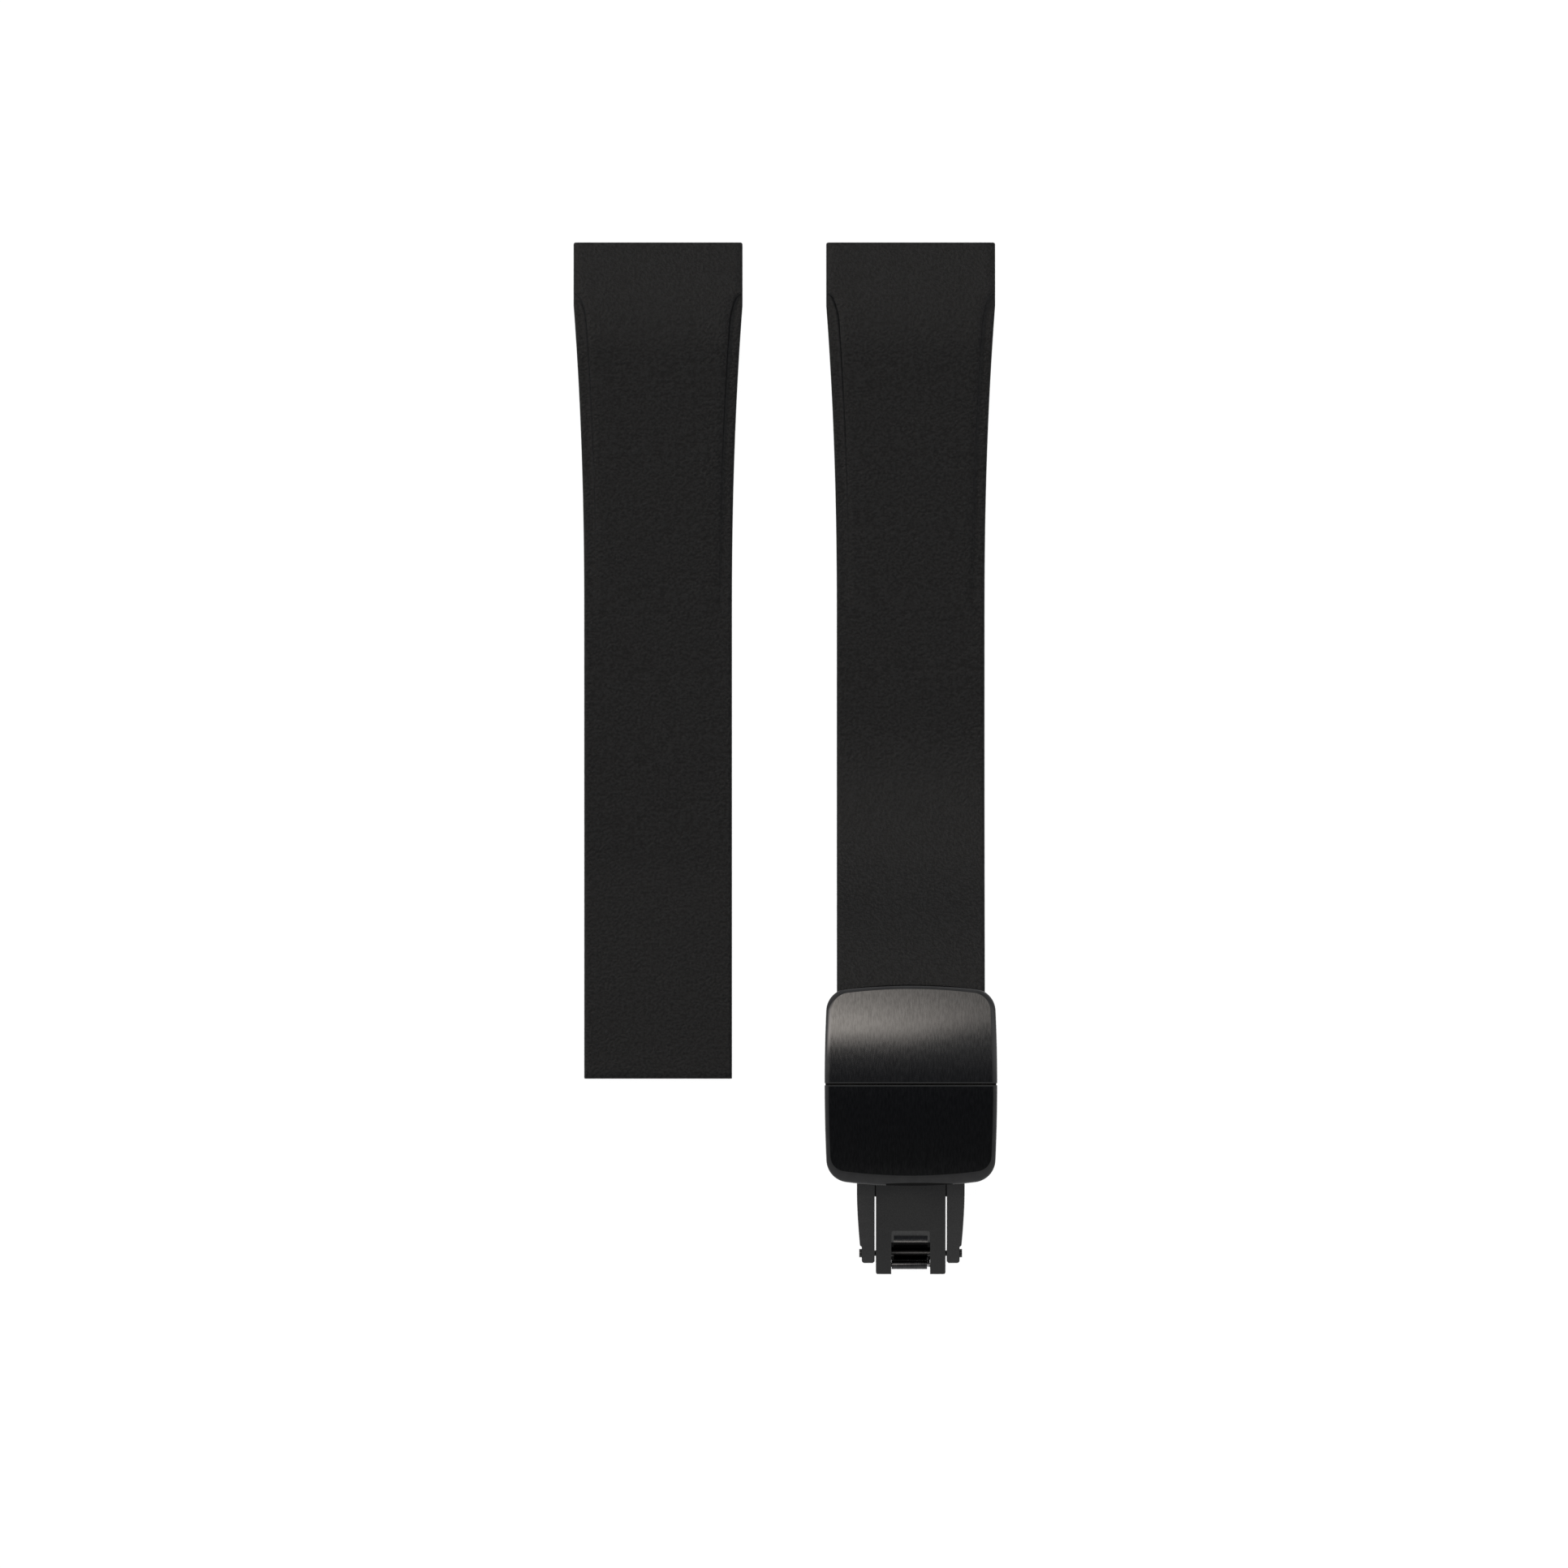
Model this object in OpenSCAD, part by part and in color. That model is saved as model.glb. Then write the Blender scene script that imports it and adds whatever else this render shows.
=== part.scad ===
// Two-part rubber watch strap with a double folding clasp.
// The two halves lie side by side, lug ends towards +Y, the closed clasp on the right half.

/* [Strap halves] */
// Width at the watch lugs
lug_w = 20; // [18:0.5:22]
// Width of the straight tail
tail_w = 17.5; // [16:0.1:18]
// Length of each half, from the lug end to the cut end
strap_len = 99; // [90:1:110]
// Thickness at the very end of the lug block
lug_tip_h = 3.26; // [3.2:0.02:3.8]
// Thickness at the crown behind the lug block
crown_h = 4.8; // [4.4:0.1:5.2]
// Distance of the crown from the lug end
crown_s = 12.5; // [11:0.5:15]
// Thickness of the straight tail
tail_h = 2.55; // [2.3:0.05:2.8]
// Length of the tail that keeps one thickness
tail_flat = 25; // [22:1:30]
// Length of the lug block that keeps the full width
lug_block = 7.5; // [6:0.5:9]
// Distance from the lug end at which the waist reaches the tail width
waist_s = 44; // [40:1:50]
// How sharply the sides draw in behind the lug block
waist_power = 2.2; // [1.5:0.1:3]
// Width of the recessed shoulder along each edge
shoulder_w = 1.4; // [1:0.1:1.8]
// Depth of the recessed shoulder
shoulder_depth = 0.6; // [0.4:0.05:0.8]
// Distance from the lug end at which the shoulder starts
shoulder_start = 6; // [5:0.5:7]
// Length over which the shoulder curves in from the edge
shoulder_run = 3.6; // [3:0.2:4.4]
// Free gap between the two halves as laid down, centre to centre
half_pitch = 29.9; // [28:0.1:40]

/* [Lug tubes] */
// Distance of the tube's axis from the lug end
tube_s = 2; // [1.9:0.05:2.4]
// Outside radius of the steel tube
tube_r = 1.2; // [1.1:0.05:1.3]
// Radius of the bore for the spring bar
tube_bore_r = 0.95; // [0.8:0.01:1]
// How far the tube's ends lie inside the rubber
tube_inset = 0.2; // [0.1:0.05:0.5]

/* [Tail bores] */
// Distance of the first cross bore from the cut end
bore_s = 5.3; // [5:0.1:6]
// Spacing of the cross bores
bore_pitch = 4; // [3.5:0.1:4.5]
// Number of cross bores
bore_count = 4; // [2:1:5]
// Radius of the strap screw that passes through a cross bore
screw_r = 0.6; // [0.5:0.02:0.65]
// Radius of the groove that marks each cut
mark_r = 0.15; // [0.1:0.01:0.2]

/* [Clasp curve] */
// Radius of the base's wrist side
base_r = 50.3; // [45:0.1:60]
// Thickness of the base
base_t = 0.9; // [0.8:0.05:1]
// Thickness of the two plates
plate_t = 1.2; // [1.1:0.05:1.3]
// Thickness of a cover's floor
floor_t = 0.6; // [0.5:0.05:0.8]
// Thickness of a cover's roof
roof_t = 1; // [0.8:0.05:1.2]
// Radius of the bend that takes the strap down from the clasp
bend_r = 60; // [50:1:70]

/* [Clasp outline] */
// Distance of the lower cover's front edge from the split line
lower_len = 12.05; // [11:0.05:12.5]
// Distance of the upper cover's front edge from the split line
upper_len = 11.75; // [11:0.05:12.5]
// Thickness of a cover's side cheeks
cheek = 1.4; // [1.2:0.05:1.8]
// Thickness of a cover's wall at the split line
split_wall = 0.45; // [0.4:0.05:0.8]
// Radius of a cover's front edge, seen from above
front_r = 62; // [50:1:90]
// Radius of the bow of a cover's sides, seen from above
side_r = 200; // [120:10:400]
// Radius of a cover's front corners
corner_r = 2.7; // [2:0.1:3]
// Width of the bevel along a cover's sides
side_bevel = 0.45; // [0.3:0.05:0.6]
// Width of the bevel along the upper cover's front edge
upper_bevel = 0.35; // [0.2:0.05:0.5]
// Width of the bevel along the lower cover's front edge
lower_bevel = 1.2; // [0.8:0.05:1.3]
// Width of the nail notch in the lower cover's front edge
nail_w = 7.9; // [6:0.1:8.5]
// How far the nail notch lies to the right of the cover's middle
nail_x = 1; // [0:0.1:1.5]
// Depth of the nail notch
nail_depth = 0.4; // [0.3:0.02:0.5]
// Radius of the nail notch's back
nail_r = 80; // [40:5:120]
// Width of the plates
plate_w = 8.24; // [7.6:0.02:8.6]
// Distance of the prong ends from the split line
plate_end = 22.55; // [22.3:0.05:23]
// Width of the notch between the prongs
notch_w = 4.6; // [4.4:0.05:5]
// Depth of the notch between the prongs
notch_len = 5.15; // [4.8:0.05:5.4]
// Width of a link next to the cover
link_w = 2.1; // [1.9:0.05:2.3]
// How much a link's outer edge draws in towards its pin
link_taper = 0.36; // [0.2:0.02:0.5]
// Depth of the flat round the base pin's head
link_step = 0.22; // [0.15:0.01:0.25]
// How far the base's wide middle reaches past a cover's front edge
base_reach = 1.3; // [0.5:0.1:2]
// How far the base's wide middle lies inside the links' outer sides
base_inset = 0.2; // [0.1:0.05:0.6]

/* [Pins] */
// Distance of a base pin from the catch bar beside it
pin_inset = 1.39; // [1.36:0.01:1.5]
// Distance of the plate pins from the split line
plate_pin_y = 2.6; // [2.2:0.1:3]
// Radius of the base pins and the plate pins
pin_r = 0.34; // [0.3:0.01:0.36]
// Radius of a base pin's riveted heads
pin_head_r = 0.5; // [0.45:0.01:0.55]
// Thickness of a base pin's riveted heads
pin_head_t = 0.3; // [0.2:0.02:0.35]
// Distance of a catch bar from the prong ends
catch_inset = 1.08; // [0.8:0.01:1.1]
// Radius of a catch bar's sleeve
sleeve_r = 0.5; // [0.46:0.01:0.52]
// Radius of a catch bar's tips
tip_r = 0.24; // [0.2:0.01:0.25]
// How far a catch bar's tips reach into the prongs
tip_reach = 0.8; // [0.6:0.05:1]
// Turns of the spring inside a catch bar
spring_turns = 9; // [6:1:12]
// Radius of the spring's wire
spring_wire_r = 0.045; // [0.04:0.005:0.05]

/* [Fits] */
// Running clearance round every pin
pin_gap = 0.04; // [0.02:0.01:0.06]
// Clearance round the strap inside a cover
pocket_gap = 0.05; // [0.03:0.01:0.1]
// Clearance between the base and what folds onto it
fold_gap = 0.2; // [0.15:0.01:0.25]
// Clearance between the links and a cover's floor
link_gap = 0.12; // [0.1:0.01:0.2]
// Clearance between a plate and the links beside it
slot_gap = 0.15; // [0.12:0.01:0.3]
// Width of the groove between the two covers
split_gap = 0.26; // [0.2:0.02:0.4]
// Depth of the groove, where the covers' walls draw together
split_depth = 0.6; // [0.5:0.05:1]
// Clearance between the covers' walls below the groove
wall_gap = 0.04; // [0.03:0.01:0.08]
// Clearance between the base's nose and a catch bar
nose_gap = 0.08; // [0.06:0.01:0.12]

/* [Hidden] */
$fn = 64;
rubber = [0.13, 0.13, 0.13];
black_steel = [0.2, 0.2, 0.21];
bar_steel = [0.42, 0.42, 0.43];
// Segments of the large arcs
ARC_FN = 256;
// Cuts run past the faces that they open by this much
OVER = 1;

// Radii of the clasp's layers, from the wrist outwards
base_top = base_r + base_t;
plate_in = base_top + fold_gap;
plate_top = plate_in + plate_t;
link_top = plate_top - link_gap;
strap_in = plate_top + floor_t + pocket_gap;
strap_out = strap_in + tail_h;
roof_in = strap_out + pocket_gap;
roof_out = roof_in + roof_t;

// Places of the pins and the catch bar along the clasp
catch_y = plate_end - catch_inset;
base_pin_y = catch_y - pin_inset;

// Pins, as distance from the arch's axis
knuckle_wall = 0.32;
knuckle_gap = 0.1;
knuckle_r = pin_r + pin_gap + knuckle_wall;
base_pin_lvl = plate_in - knuckle_r - knuckle_gap;
plate_pin_lvl = (plate_in + link_top) / 2;
link_end_r = (link_top - plate_in) / 2;
catch_lvl = (plate_in + plate_top) / 2;
screw_lvl = (strap_in + strap_out) / 2;

// The tray and the nose at each end of the base
tray_t = 0.35;
tray_gap = 0.15;
tray_in = base_pin_lvl - pin_r - tray_gap - tray_t;
nose_end = catch_y - sleeve_r - nose_gap;
nose_pin_gap = 0.1;
nose_t = nose_end - base_pin_y - pin_r - nose_pin_gap;
nose_side = 0.3;
nose_slope = 0.45;
nose_half_w = notch_w / 2 - nose_side;
tray_side = 0.02;
tray_half_w = notch_w / 2 - tray_side;
tongue_inset = 0.17;
tongue_half_w = plate_w / 2 - tongue_inset;
knuckle_inset = 0.05;
knuckle_in = notch_w / 2 + knuckle_inset;
tongue_lap = 1.35;
tongue_end = plate_end - notch_len + tongue_lap;
tongue_foot = 0.7;
tray_end = catch_y;

// The lip that turns up at the tongue's end, its curve sunk a little into the tongue
lip_len = 1.1;
lip_r = 2.2;
lip_rise = lip_r - sqrt(lip_r * lip_r - lip_len * lip_len);
lip_sink = 0.01;

// The arch's axis lies this far below the surface that the part stands on
arch_drop = sqrt(tray_in * tray_in - tray_end * tray_end);

// Widths of the clasp
link_inner = plate_w / 2 + slot_gap;
link_outer = link_inner + link_w;
link_past_pin = 1.15;
link_end = base_pin_y + link_past_pin;
link_taper_start = 1;
link_taper_y = lower_len + link_taper_start;
link_taper_power = 1.6;
link_step_before_pin = 0.95;
link_step_run = 0.2;
link_step_y = base_pin_y - link_step_before_pin;
link_pin_x = link_outer - link_taper - link_step;
link_corner_r = 0.3;
link_chamfer = 0.2;
base_wide_w = 2 * (link_outer - base_inset);
base_wide_len = lower_len + base_reach;
pocket_side_gap = 0.05;
pocket_w = tail_w + 2 * pocket_side_gap;
cover_w = pocket_w + 2 * cheek;
prong_r = 0.25;
notch_r = 0.35;
plate_pin_sink = 0.1;

// Centre of the circle that bounds a cover's right side
side_mid = [cover_w / 2 - side_r, 0];

// The lower cover's floor reaches past the split line, under the upper cover's wall
ledge_t = 0.45;
ledge_reach = 0.03;
ledge_gap = 0.15;

// A cover's bevel starts this far below the roof, and the cut goes on at this slope above it
bevel_drop = 0.45;
cut_run = 10;
cut_rise = 6;

// The strap's path from the clasp down to the surface
strap_start = split_gap / 2 + split_wall;
path_flat_y = sqrt(pow(strap_in + bend_r, 2) - pow(bend_r + arch_drop, 2));
path_turn_y = strap_in * path_flat_y / (strap_in + bend_r);
strap_bore_gap = 0.05;
strap_bore_r = screw_r + strap_bore_gap;
waist_run = waist_s - lug_block;
shoulder_fade = 0.6;
fade_s = waist_s - shoulder_fade;
tail_s = strap_len - tail_flat;
tip_straight = 5;
tip_slope = 2 * (crown_h - lug_tip_h) / (crown_s + tip_straight);

// Strap screw
screw_y = (strap_start + bore_s) * screw_lvl / strap_in;
screw_shoulder = 0.25;
screw_head_r = screw_r + screw_shoulder;
screw_head_t = 0.5;
screw_slot = 0.22;
screw_recess = 0.1;
screw_inset = side_bevel + screw_recess;

// Cover screws
cover_screw_x = plate_w / 4;
cover_screw_y = 7.5;
cover_screw_r = 0.45;
cover_screw_head_r = 0.8;
cover_screw_head_t = 0.35;
screw_sink = 0.05;

// Catch bar: the sleeve sits against the left prong and leaves the right tip bare
sleeve_play = 0.05;
bare_tip = 0.36;
sleeve_left = -notch_w / 2 + sleeve_play;
sleeve_right = notch_w / 2 - bare_tip;
sleeve_lip = 0.2;
lip_gap = 0.02;
collar_step = 0.065;
collar_gap = 0.025;
collar_r = tip_r + collar_step;
sleeve_bore_r = collar_r + collar_gap;
collar_t = 0.3;
lip_play = 0.05;
tip_bore_play = 0.1;
spring_left = sleeve_left + sleeve_lip + lip_play + collar_t;
spring_right = sleeve_right - sleeve_lip - lip_play - collar_t;
spring_gap = 0.02;
spring_r = collar_r - spring_wire_r - spring_gap;
spring_sides = 6;
turn_steps = 8;

// Place of the object: the outline's centre above the surface
right_x = half_pitch + cover_w / 2;
middle_x = (right_x - lug_w / 2) / 2;
tail_x = -middle_x;
clasp_x = half_pitch - middle_x;
total_len = strap_start + strap_len + plate_end;
split_y = plate_end - total_len / 2;

// Height above the arch's axis of a point at distance y and radius lvl
function rise(lvl, y) = sqrt(lvl * lvl - y * y);

// The point on the right where two circles meet, from their centres and radii
function meeting(a, r_a, b, r_b) = let (
    d = norm(b - a),
    along = (r_a * r_a - r_b * r_b + d * d) / (2 * d),
    way = (b - a) / d)
    a + way * along + [-way[1], way[0]] * sqrt(r_a * r_a - along * along);

// A direction in the plan, and the points of an arc without its first one
function turned(a) = [cos(a), sin(a)];
function angle_of(way) = atan2(way[1], way[0]);
function arc(mid, r, a0, a1, steps) = [for (i = [1:steps]) mid + r * turned(a0 + (a1 - a0) * i / steps)];

// Strap outline: half width at distance s from the lug end
function half_w(s) = s <= lug_block ? lug_w / 2
    : s >= waist_s ? tail_w / 2
    : tail_w / 2 + (lug_w - tail_w) / 2 * pow(1 - (s - lug_block) / waist_run, waist_power);

// Half width of the raised middle
function crown_half_w(s) = s <= shoulder_start ? half_w(s)
    : s >= shoulder_start + shoulder_run ? half_w(s) - shoulder_w
    : half_w(s) - shoulder_w * sqrt(1 - pow(1 - (s - shoulder_start) / shoulder_run, 2));

// Thickness at distance s from the lug end
function thick(s) = s <= tip_straight ? lug_tip_h + tip_slope * s
    : s <= crown_s ? crown_h - tip_slope * pow(crown_s - s, 2) / (crown_s - tip_straight) / 2
    : s <= tail_s ? crown_h + (tail_h - crown_h) * (s - crown_s) / (tail_s - crown_s)
    : tail_h;

// Depth of the shoulder at distance s from the lug end
function shoulder(s) = s < shoulder_start || s > fade_s ? 0
    : shoulder_depth * (fade_s - s) / (fade_s - shoulder_start);

// Underside and upward normal at distance y from the split line, on the surface when flat
function under(y, curved) = !curved || y >= path_flat_y ? [y, 0]
    : y <= path_turn_y ? [y, rise(strap_in, y) - arch_drop]
    : [y, bend_r - sqrt(pow(bend_r, 2) - pow(path_flat_y - y, 2))];
function normal(y, curved) = !curved || y >= path_flat_y ? [0, 1]
    : y <= path_turn_y ? [y, rise(strap_in, y)] / strap_in
    : [path_flat_y - y, sqrt(pow(bend_r, 2) - pow(path_flat_y - y, 2))] / bend_r;
function y_of(s) = strap_start + strap_len - s;

// Stations along the strap, closer together where it bends
STATIONS = concat(
    [0, tip_straight],
    [for (i = [1:5]) tip_straight + (crown_s - tip_straight) * i / 5],
    [for (i = [1:10]) crown_s + (waist_s - crown_s) * i / 10],
    [for (i = [1:28]) waist_s + (strap_len - waist_s) * i / 28]);
EDGE_STATIONS = concat(
    [0, shoulder_start],
    [for (i = [1:6]) shoulder_start + shoulder_run * (1 - cos(15 * i))],
    [for (i = [1:14]) shoulder_start + shoulder_run
        + (waist_s - shoulder_start - shoulder_run) * i / 14],
    [strap_len]);

// Side view of a strap half, its top lowered where the shoulder runs
module strap_side(curved, lowered) {
    bottom = [for (s = STATIONS) under(y_of(s), curved)];
    tops = [for (i = [len(STATIONS) - 1:-1:0])
        let (s = STATIONS[i], y = y_of(s))
        under(y, curved) + normal(y, curved) * (thick(s) - (lowered ? shoulder(s) : 0))];
    rotate([90, 0, 90])
        linear_extrude(lug_w + 2 * OVER, center = true) polygon(concat(bottom, tops));
}

// Plan of a strap half, from its list of half widths
module strap_plan(widths) {
    right = [for (i = [0:len(EDGE_STATIONS) - 1]) [widths[i], y_of(EDGE_STATIONS[i])]];
    left = [for (i = [len(right) - 1:-1:0]) [-right[i][0], right[i][1]]];
    translate([0, 0, -OVER]) linear_extrude(roof_out) polygon(concat(right, left));
}

// A rod along X, its axis on the strap's middle plane at distance y
module strap_rod(y, curved, height, r) {
    p = under(y, curved) + normal(y, curved) * height;
    translate([0, p[0], p[1]]) rotate([0, 90, 0]) cylinder(h = lug_w + 2 * OVER, r = r, center = true);
}

// One rubber half, measured from the split line
module strap_half(curved) {
    difference() {
        union() {
            intersection() {
                strap_side(curved, true);
                strap_plan([for (s = EDGE_STATIONS) half_w(s)]);
            }
            intersection() {
                strap_side(curved, false);
                strap_plan([for (s = EDGE_STATIONS) crown_half_w(s)]);
            }
        }
        strap_rod(y_of(tube_s), curved, thick(tube_s) / 2, tube_r);
        for (i = [0:bore_count - 1])
            strap_rod(strap_start + bore_s + i * bore_pitch, curved, tail_h / 2, strap_bore_r);
        for (i = [1:bore_count - 1])
            strap_rod(strap_start + bore_s + (i - 0.5) * bore_pitch, curved, 0, mark_r);
    }
}

// The steel tube moulded into a lug end
module lug_tube() {
    translate([0, y_of(tube_s), thick(tube_s) / 2]) rotate([0, 90, 0]) difference() {
        cylinder(h = lug_w - 2 * tube_inset, r = tube_r, center = true);
        cylinder(h = lug_w + OVER, r = tube_bore_r, center = true);
    }
}

module on_tail() {
    translate([tail_x, split_y, 0]) children();
}

module on_clasp() {
    translate([clasp_x, split_y, 0]) children();
}

// One side of the clasp, drawn round the arch's axis and pointing to +Y
module side(lower) {
    translate([clasp_x, split_y, -arch_drop]) mirror([0, lower ? 1 : 0, 0]) children();
}

// A curved plate of two radii, cut to the plan that is its child
module arc_plate(r_in, r_out) {
    intersection() {
        rotate([0, 90, 0]) difference() {
            cylinder(h = 2 * cover_w, r = r_out, center = true, $fn = ARC_FN);
            cylinder(h = 2 * cover_w + OVER, r = r_in, center = true, $fn = ARC_FN);
        }
        linear_extrude(roof_out + OVER) children();
    }
}

// A cylinder along X from x0 to x1 at distance y and radius lvl
module cross_rod(y, lvl, r, x0, x1) {
    translate([x0, y, rise(lvl, y)]) rotate([0, 90, 0]) cylinder(h = x1 - x0, r = r);
}

// A rectangle in the plan
module plan_box(x0, x1, y0, y1) {
    translate([x0, y0]) square([x1 - x0, y1 - y0]);
}

// A rectangle in the plan with its two far corners rounded
module plan_tongue(half_w, y0, y1, r) {
    plan_box(-half_w, half_w, y0, y1 - r);
    plan_box(-half_w + r, half_w - r, y0, y1);
    for (x = [-1, 1]) translate([x * (half_w - r), y1 - r]) circle(r);
}

// The base: a wide middle and two tongues, each with a lip, two knuckles, a tray and a nose
module base_end() {
    tray_mid = tray_in + tray_t / 2;
    arc_plate(base_r, base_top) plan_box(-tongue_half_w, tongue_half_w, 0, tongue_end);
    arc_plate(tray_in, base_top)
        plan_box(-tongue_half_w, tongue_half_w, tongue_end - tongue_foot, tongue_end);
    arc_plate(tray_in, tray_in + tray_t)
        plan_box(-tray_half_w, tray_half_w, tongue_end - tongue_foot, tray_end);
    arc_plate(tray_in, tray_in + tray_t)
        plan_box(-tongue_half_w, tongue_half_w, tongue_end - tongue_foot, nose_end);
    rotate([90, 0, 90]) translate([0, 0, -nose_half_w]) linear_extrude(2 * nose_half_w) polygon([
        [nose_end - nose_t, rise(tray_mid, nose_end - nose_t)],
        [nose_end - nose_t, rise(catch_lvl, nose_end - nose_t)],
        [nose_end, rise(catch_lvl, nose_end) - nose_slope],
        [nose_end, rise(tray_mid, nose_end)]]);
    difference() {
        arc_plate(base_r, base_top + lip_rise)
            plan_box(-nose_half_w, nose_half_w, tongue_end - lip_len, tongue_end);
        rotate([-asin((tongue_end - lip_len) / base_top), 0, 0])
            translate([-plate_w, 0, base_top + lip_r - lip_sink])
                rotate([0, 90, 0]) cylinder(h = 2 * plate_w, r = lip_r);
    }
    for (x = [-1, 1]) mirror([x < 0 ? 1 : 0, 0, 0]) {
        arc_plate(tray_in, base_pin_lvl)
            plan_box(knuckle_in, tongue_half_w, tongue_end - tongue_foot, base_pin_y);
        cross_rod(base_pin_y, base_pin_lvl, knuckle_r, knuckle_in, tongue_half_w);
    }
}

module base_body() {
    difference() {
        union() {
            arc_plate(base_r, base_top) plan_box(
                -base_wide_w / 2, base_wide_w / 2, -base_wide_len, base_wide_len);
            base_end();
            mirror([0, 1, 0]) base_end();
        }
        for (y = [-1, 1])
            cross_rod(y * base_pin_y, base_pin_lvl, pin_r + pin_gap, -plate_w, plate_w);
    }
}

// Outline of the right link
module link_plan() {
    taper = [for (i = [0:5]) let (t = i / 5)
        [link_outer - link_taper * pow(t, link_taper_power),
            link_taper_y + t * (link_step_y - link_taper_y)]];
    corner = [for (a = [0:30:90])
        [link_pin_x - link_corner_r * (1 - cos(a)), link_end - link_corner_r * (1 - sin(a))]];
    polygon(concat(
        [[link_inner, plate_pin_y], [link_outer, plate_pin_y]],
        taper,
        [[link_pin_x, link_step_y + link_step_run]],
        corner,
        [[link_inner + link_chamfer, link_end], [link_inner, link_end - link_chamfer]]));
}

// The right link: a curved bar with an ear that drops to the base pin
module link_body() {
    difference() {
        union() {
            arc_plate(plate_in, link_top) link_plan();
            cross_rod(plate_pin_y, plate_pin_lvl, link_end_r, link_inner, link_outer);
            arc_plate(base_pin_lvl, link_top) intersection() {
                link_plan();
                plan_box(link_inner, link_pin_x, base_pin_y - knuckle_r, link_end);
            }
            cross_rod(base_pin_y, base_pin_lvl, knuckle_r, link_inner, link_pin_x);
        }
        cross_rod(plate_pin_y, plate_pin_lvl, pin_r, 0, link_outer + OVER);
        cross_rod(base_pin_y, base_pin_lvl, pin_r, 0, link_outer + OVER);
    }
}

// The riveted pin at the base's end
module base_pin_body() {
    cross_rod(base_pin_y, base_pin_lvl, pin_r, -link_pin_x, link_pin_x);
    cross_rod(base_pin_y, base_pin_lvl, pin_head_r, link_pin_x, link_pin_x + pin_head_t);
    cross_rod(base_pin_y, base_pin_lvl, pin_head_r, -link_pin_x - pin_head_t, -link_pin_x);
}

// The plain pin that joins the links and the plate
module plate_pin_body() {
    cross_rod(plate_pin_y, plate_pin_lvl, pin_r,
        -link_outer + plate_pin_sink, link_outer - plate_pin_sink);
}

// Places a shape on the radius of each cover screw
module at_cover_screws() {
    for (x = [-1, 1])
        rotate([-asin(cover_screw_y / plate_top), 0, 0])
            translate([x * cover_screw_x, 0, 0]) children();
}

// The plate with its two prongs
module plate_body() {
    difference() {
        arc_plate(plate_in, plate_top) difference() {
            plan_tongue(plate_w / 2, split_gap / 2, plate_end, prong_r);
            plan_box(-notch_w / 2, notch_w / 2, plate_end - notch_len + notch_r, plate_end + OVER);
            plan_box(-notch_w / 2 + notch_r, notch_w / 2 - notch_r,
                plate_end - notch_len, plate_end);
            for (x = [-1, 1])
                translate([x * (notch_w / 2 - notch_r), plate_end - notch_len + notch_r])
                    circle(notch_r);
        }
        cross_rod(plate_pin_y, plate_pin_lvl, pin_r + pin_gap, -plate_w, plate_w);
        cross_rod(catch_y, catch_lvl, tip_r + pin_gap,
            -notch_w / 2 - tip_reach - tip_bore_play, notch_w / 2 + tip_reach + tip_bore_play);
        at_cover_screws() {
            cylinder(h = plate_top + OVER, r = cover_screw_r);
            cylinder(h = plate_in + cover_screw_head_t, r = cover_screw_head_r);
        }
    }
}

// Plan of a cover from y0 to its length: bowed sides and front edge, joined by round corners
// whose circle touches the circles of the side and of the front edge
module cover_plan(y0, length) {
    front_mid = [0, length - front_r];
    corner_mid = meeting(side_mid, side_r - corner_r, front_mid, front_r - corner_r);
    side_a = angle_of(corner_mid - side_mid);
    front_a = angle_of(corner_mid - front_mid);
    right = concat([side_mid + side_r * turned(asin(y0 / side_r))],
        arc(side_mid, side_r, asin(y0 / side_r), side_a, 3),
        arc(corner_mid, corner_r, side_a, front_a, 8),
        arc(front_mid, front_r, front_a, 90, 8));
    left = [for (i = [len(right) - 2:-1:0]) [-right[i][0], right[i][1]]];
    polygon(concat(right, left));
}

// A cover's outer form: curved like the wrist, with bevels along its sides and front edge
module cover_outer(length, bevel) {
    edge_z = rise(roof_out, length) - bevel_drop;
    bevel_z = rise(roof_out, length - bevel);
    skirt_z = edge_z - OVER * (bevel_z - edge_z) / bevel;
    intersection() {
        rotate([0, 90, 0]) rotate_extrude($fn = ARC_FN) polygon([
            [plate_top, -cover_w / 2], [roof_out - side_bevel, -cover_w / 2],
            [roof_out, -cover_w / 2 + side_bevel], [roof_out, cover_w / 2 - side_bevel],
            [roof_out - side_bevel, cover_w / 2], [plate_top, cover_w / 2]]);
        linear_extrude(roof_out + OVER) cover_plan(split_gap / 2, length);
        translate([0, length - front_r, 0]) rotate_extrude($fn = ARC_FN) polygon([
            [0, 0], [front_r + OVER, 0], [front_r + OVER, skirt_z], [front_r - bevel, bevel_z],
            [front_r - bevel - cut_run, bevel_z + cut_rise], [0, bevel_z + cut_rise]]);
    }
}

// A strip of a cover's wall at the split, between two radii, from y0 on
module split_strip(r_in, r_out, y0) {
    arc_plate(r_in, r_out) plan_box(-cover_w / 2, cover_w / 2, y0, strap_start);
}

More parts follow.
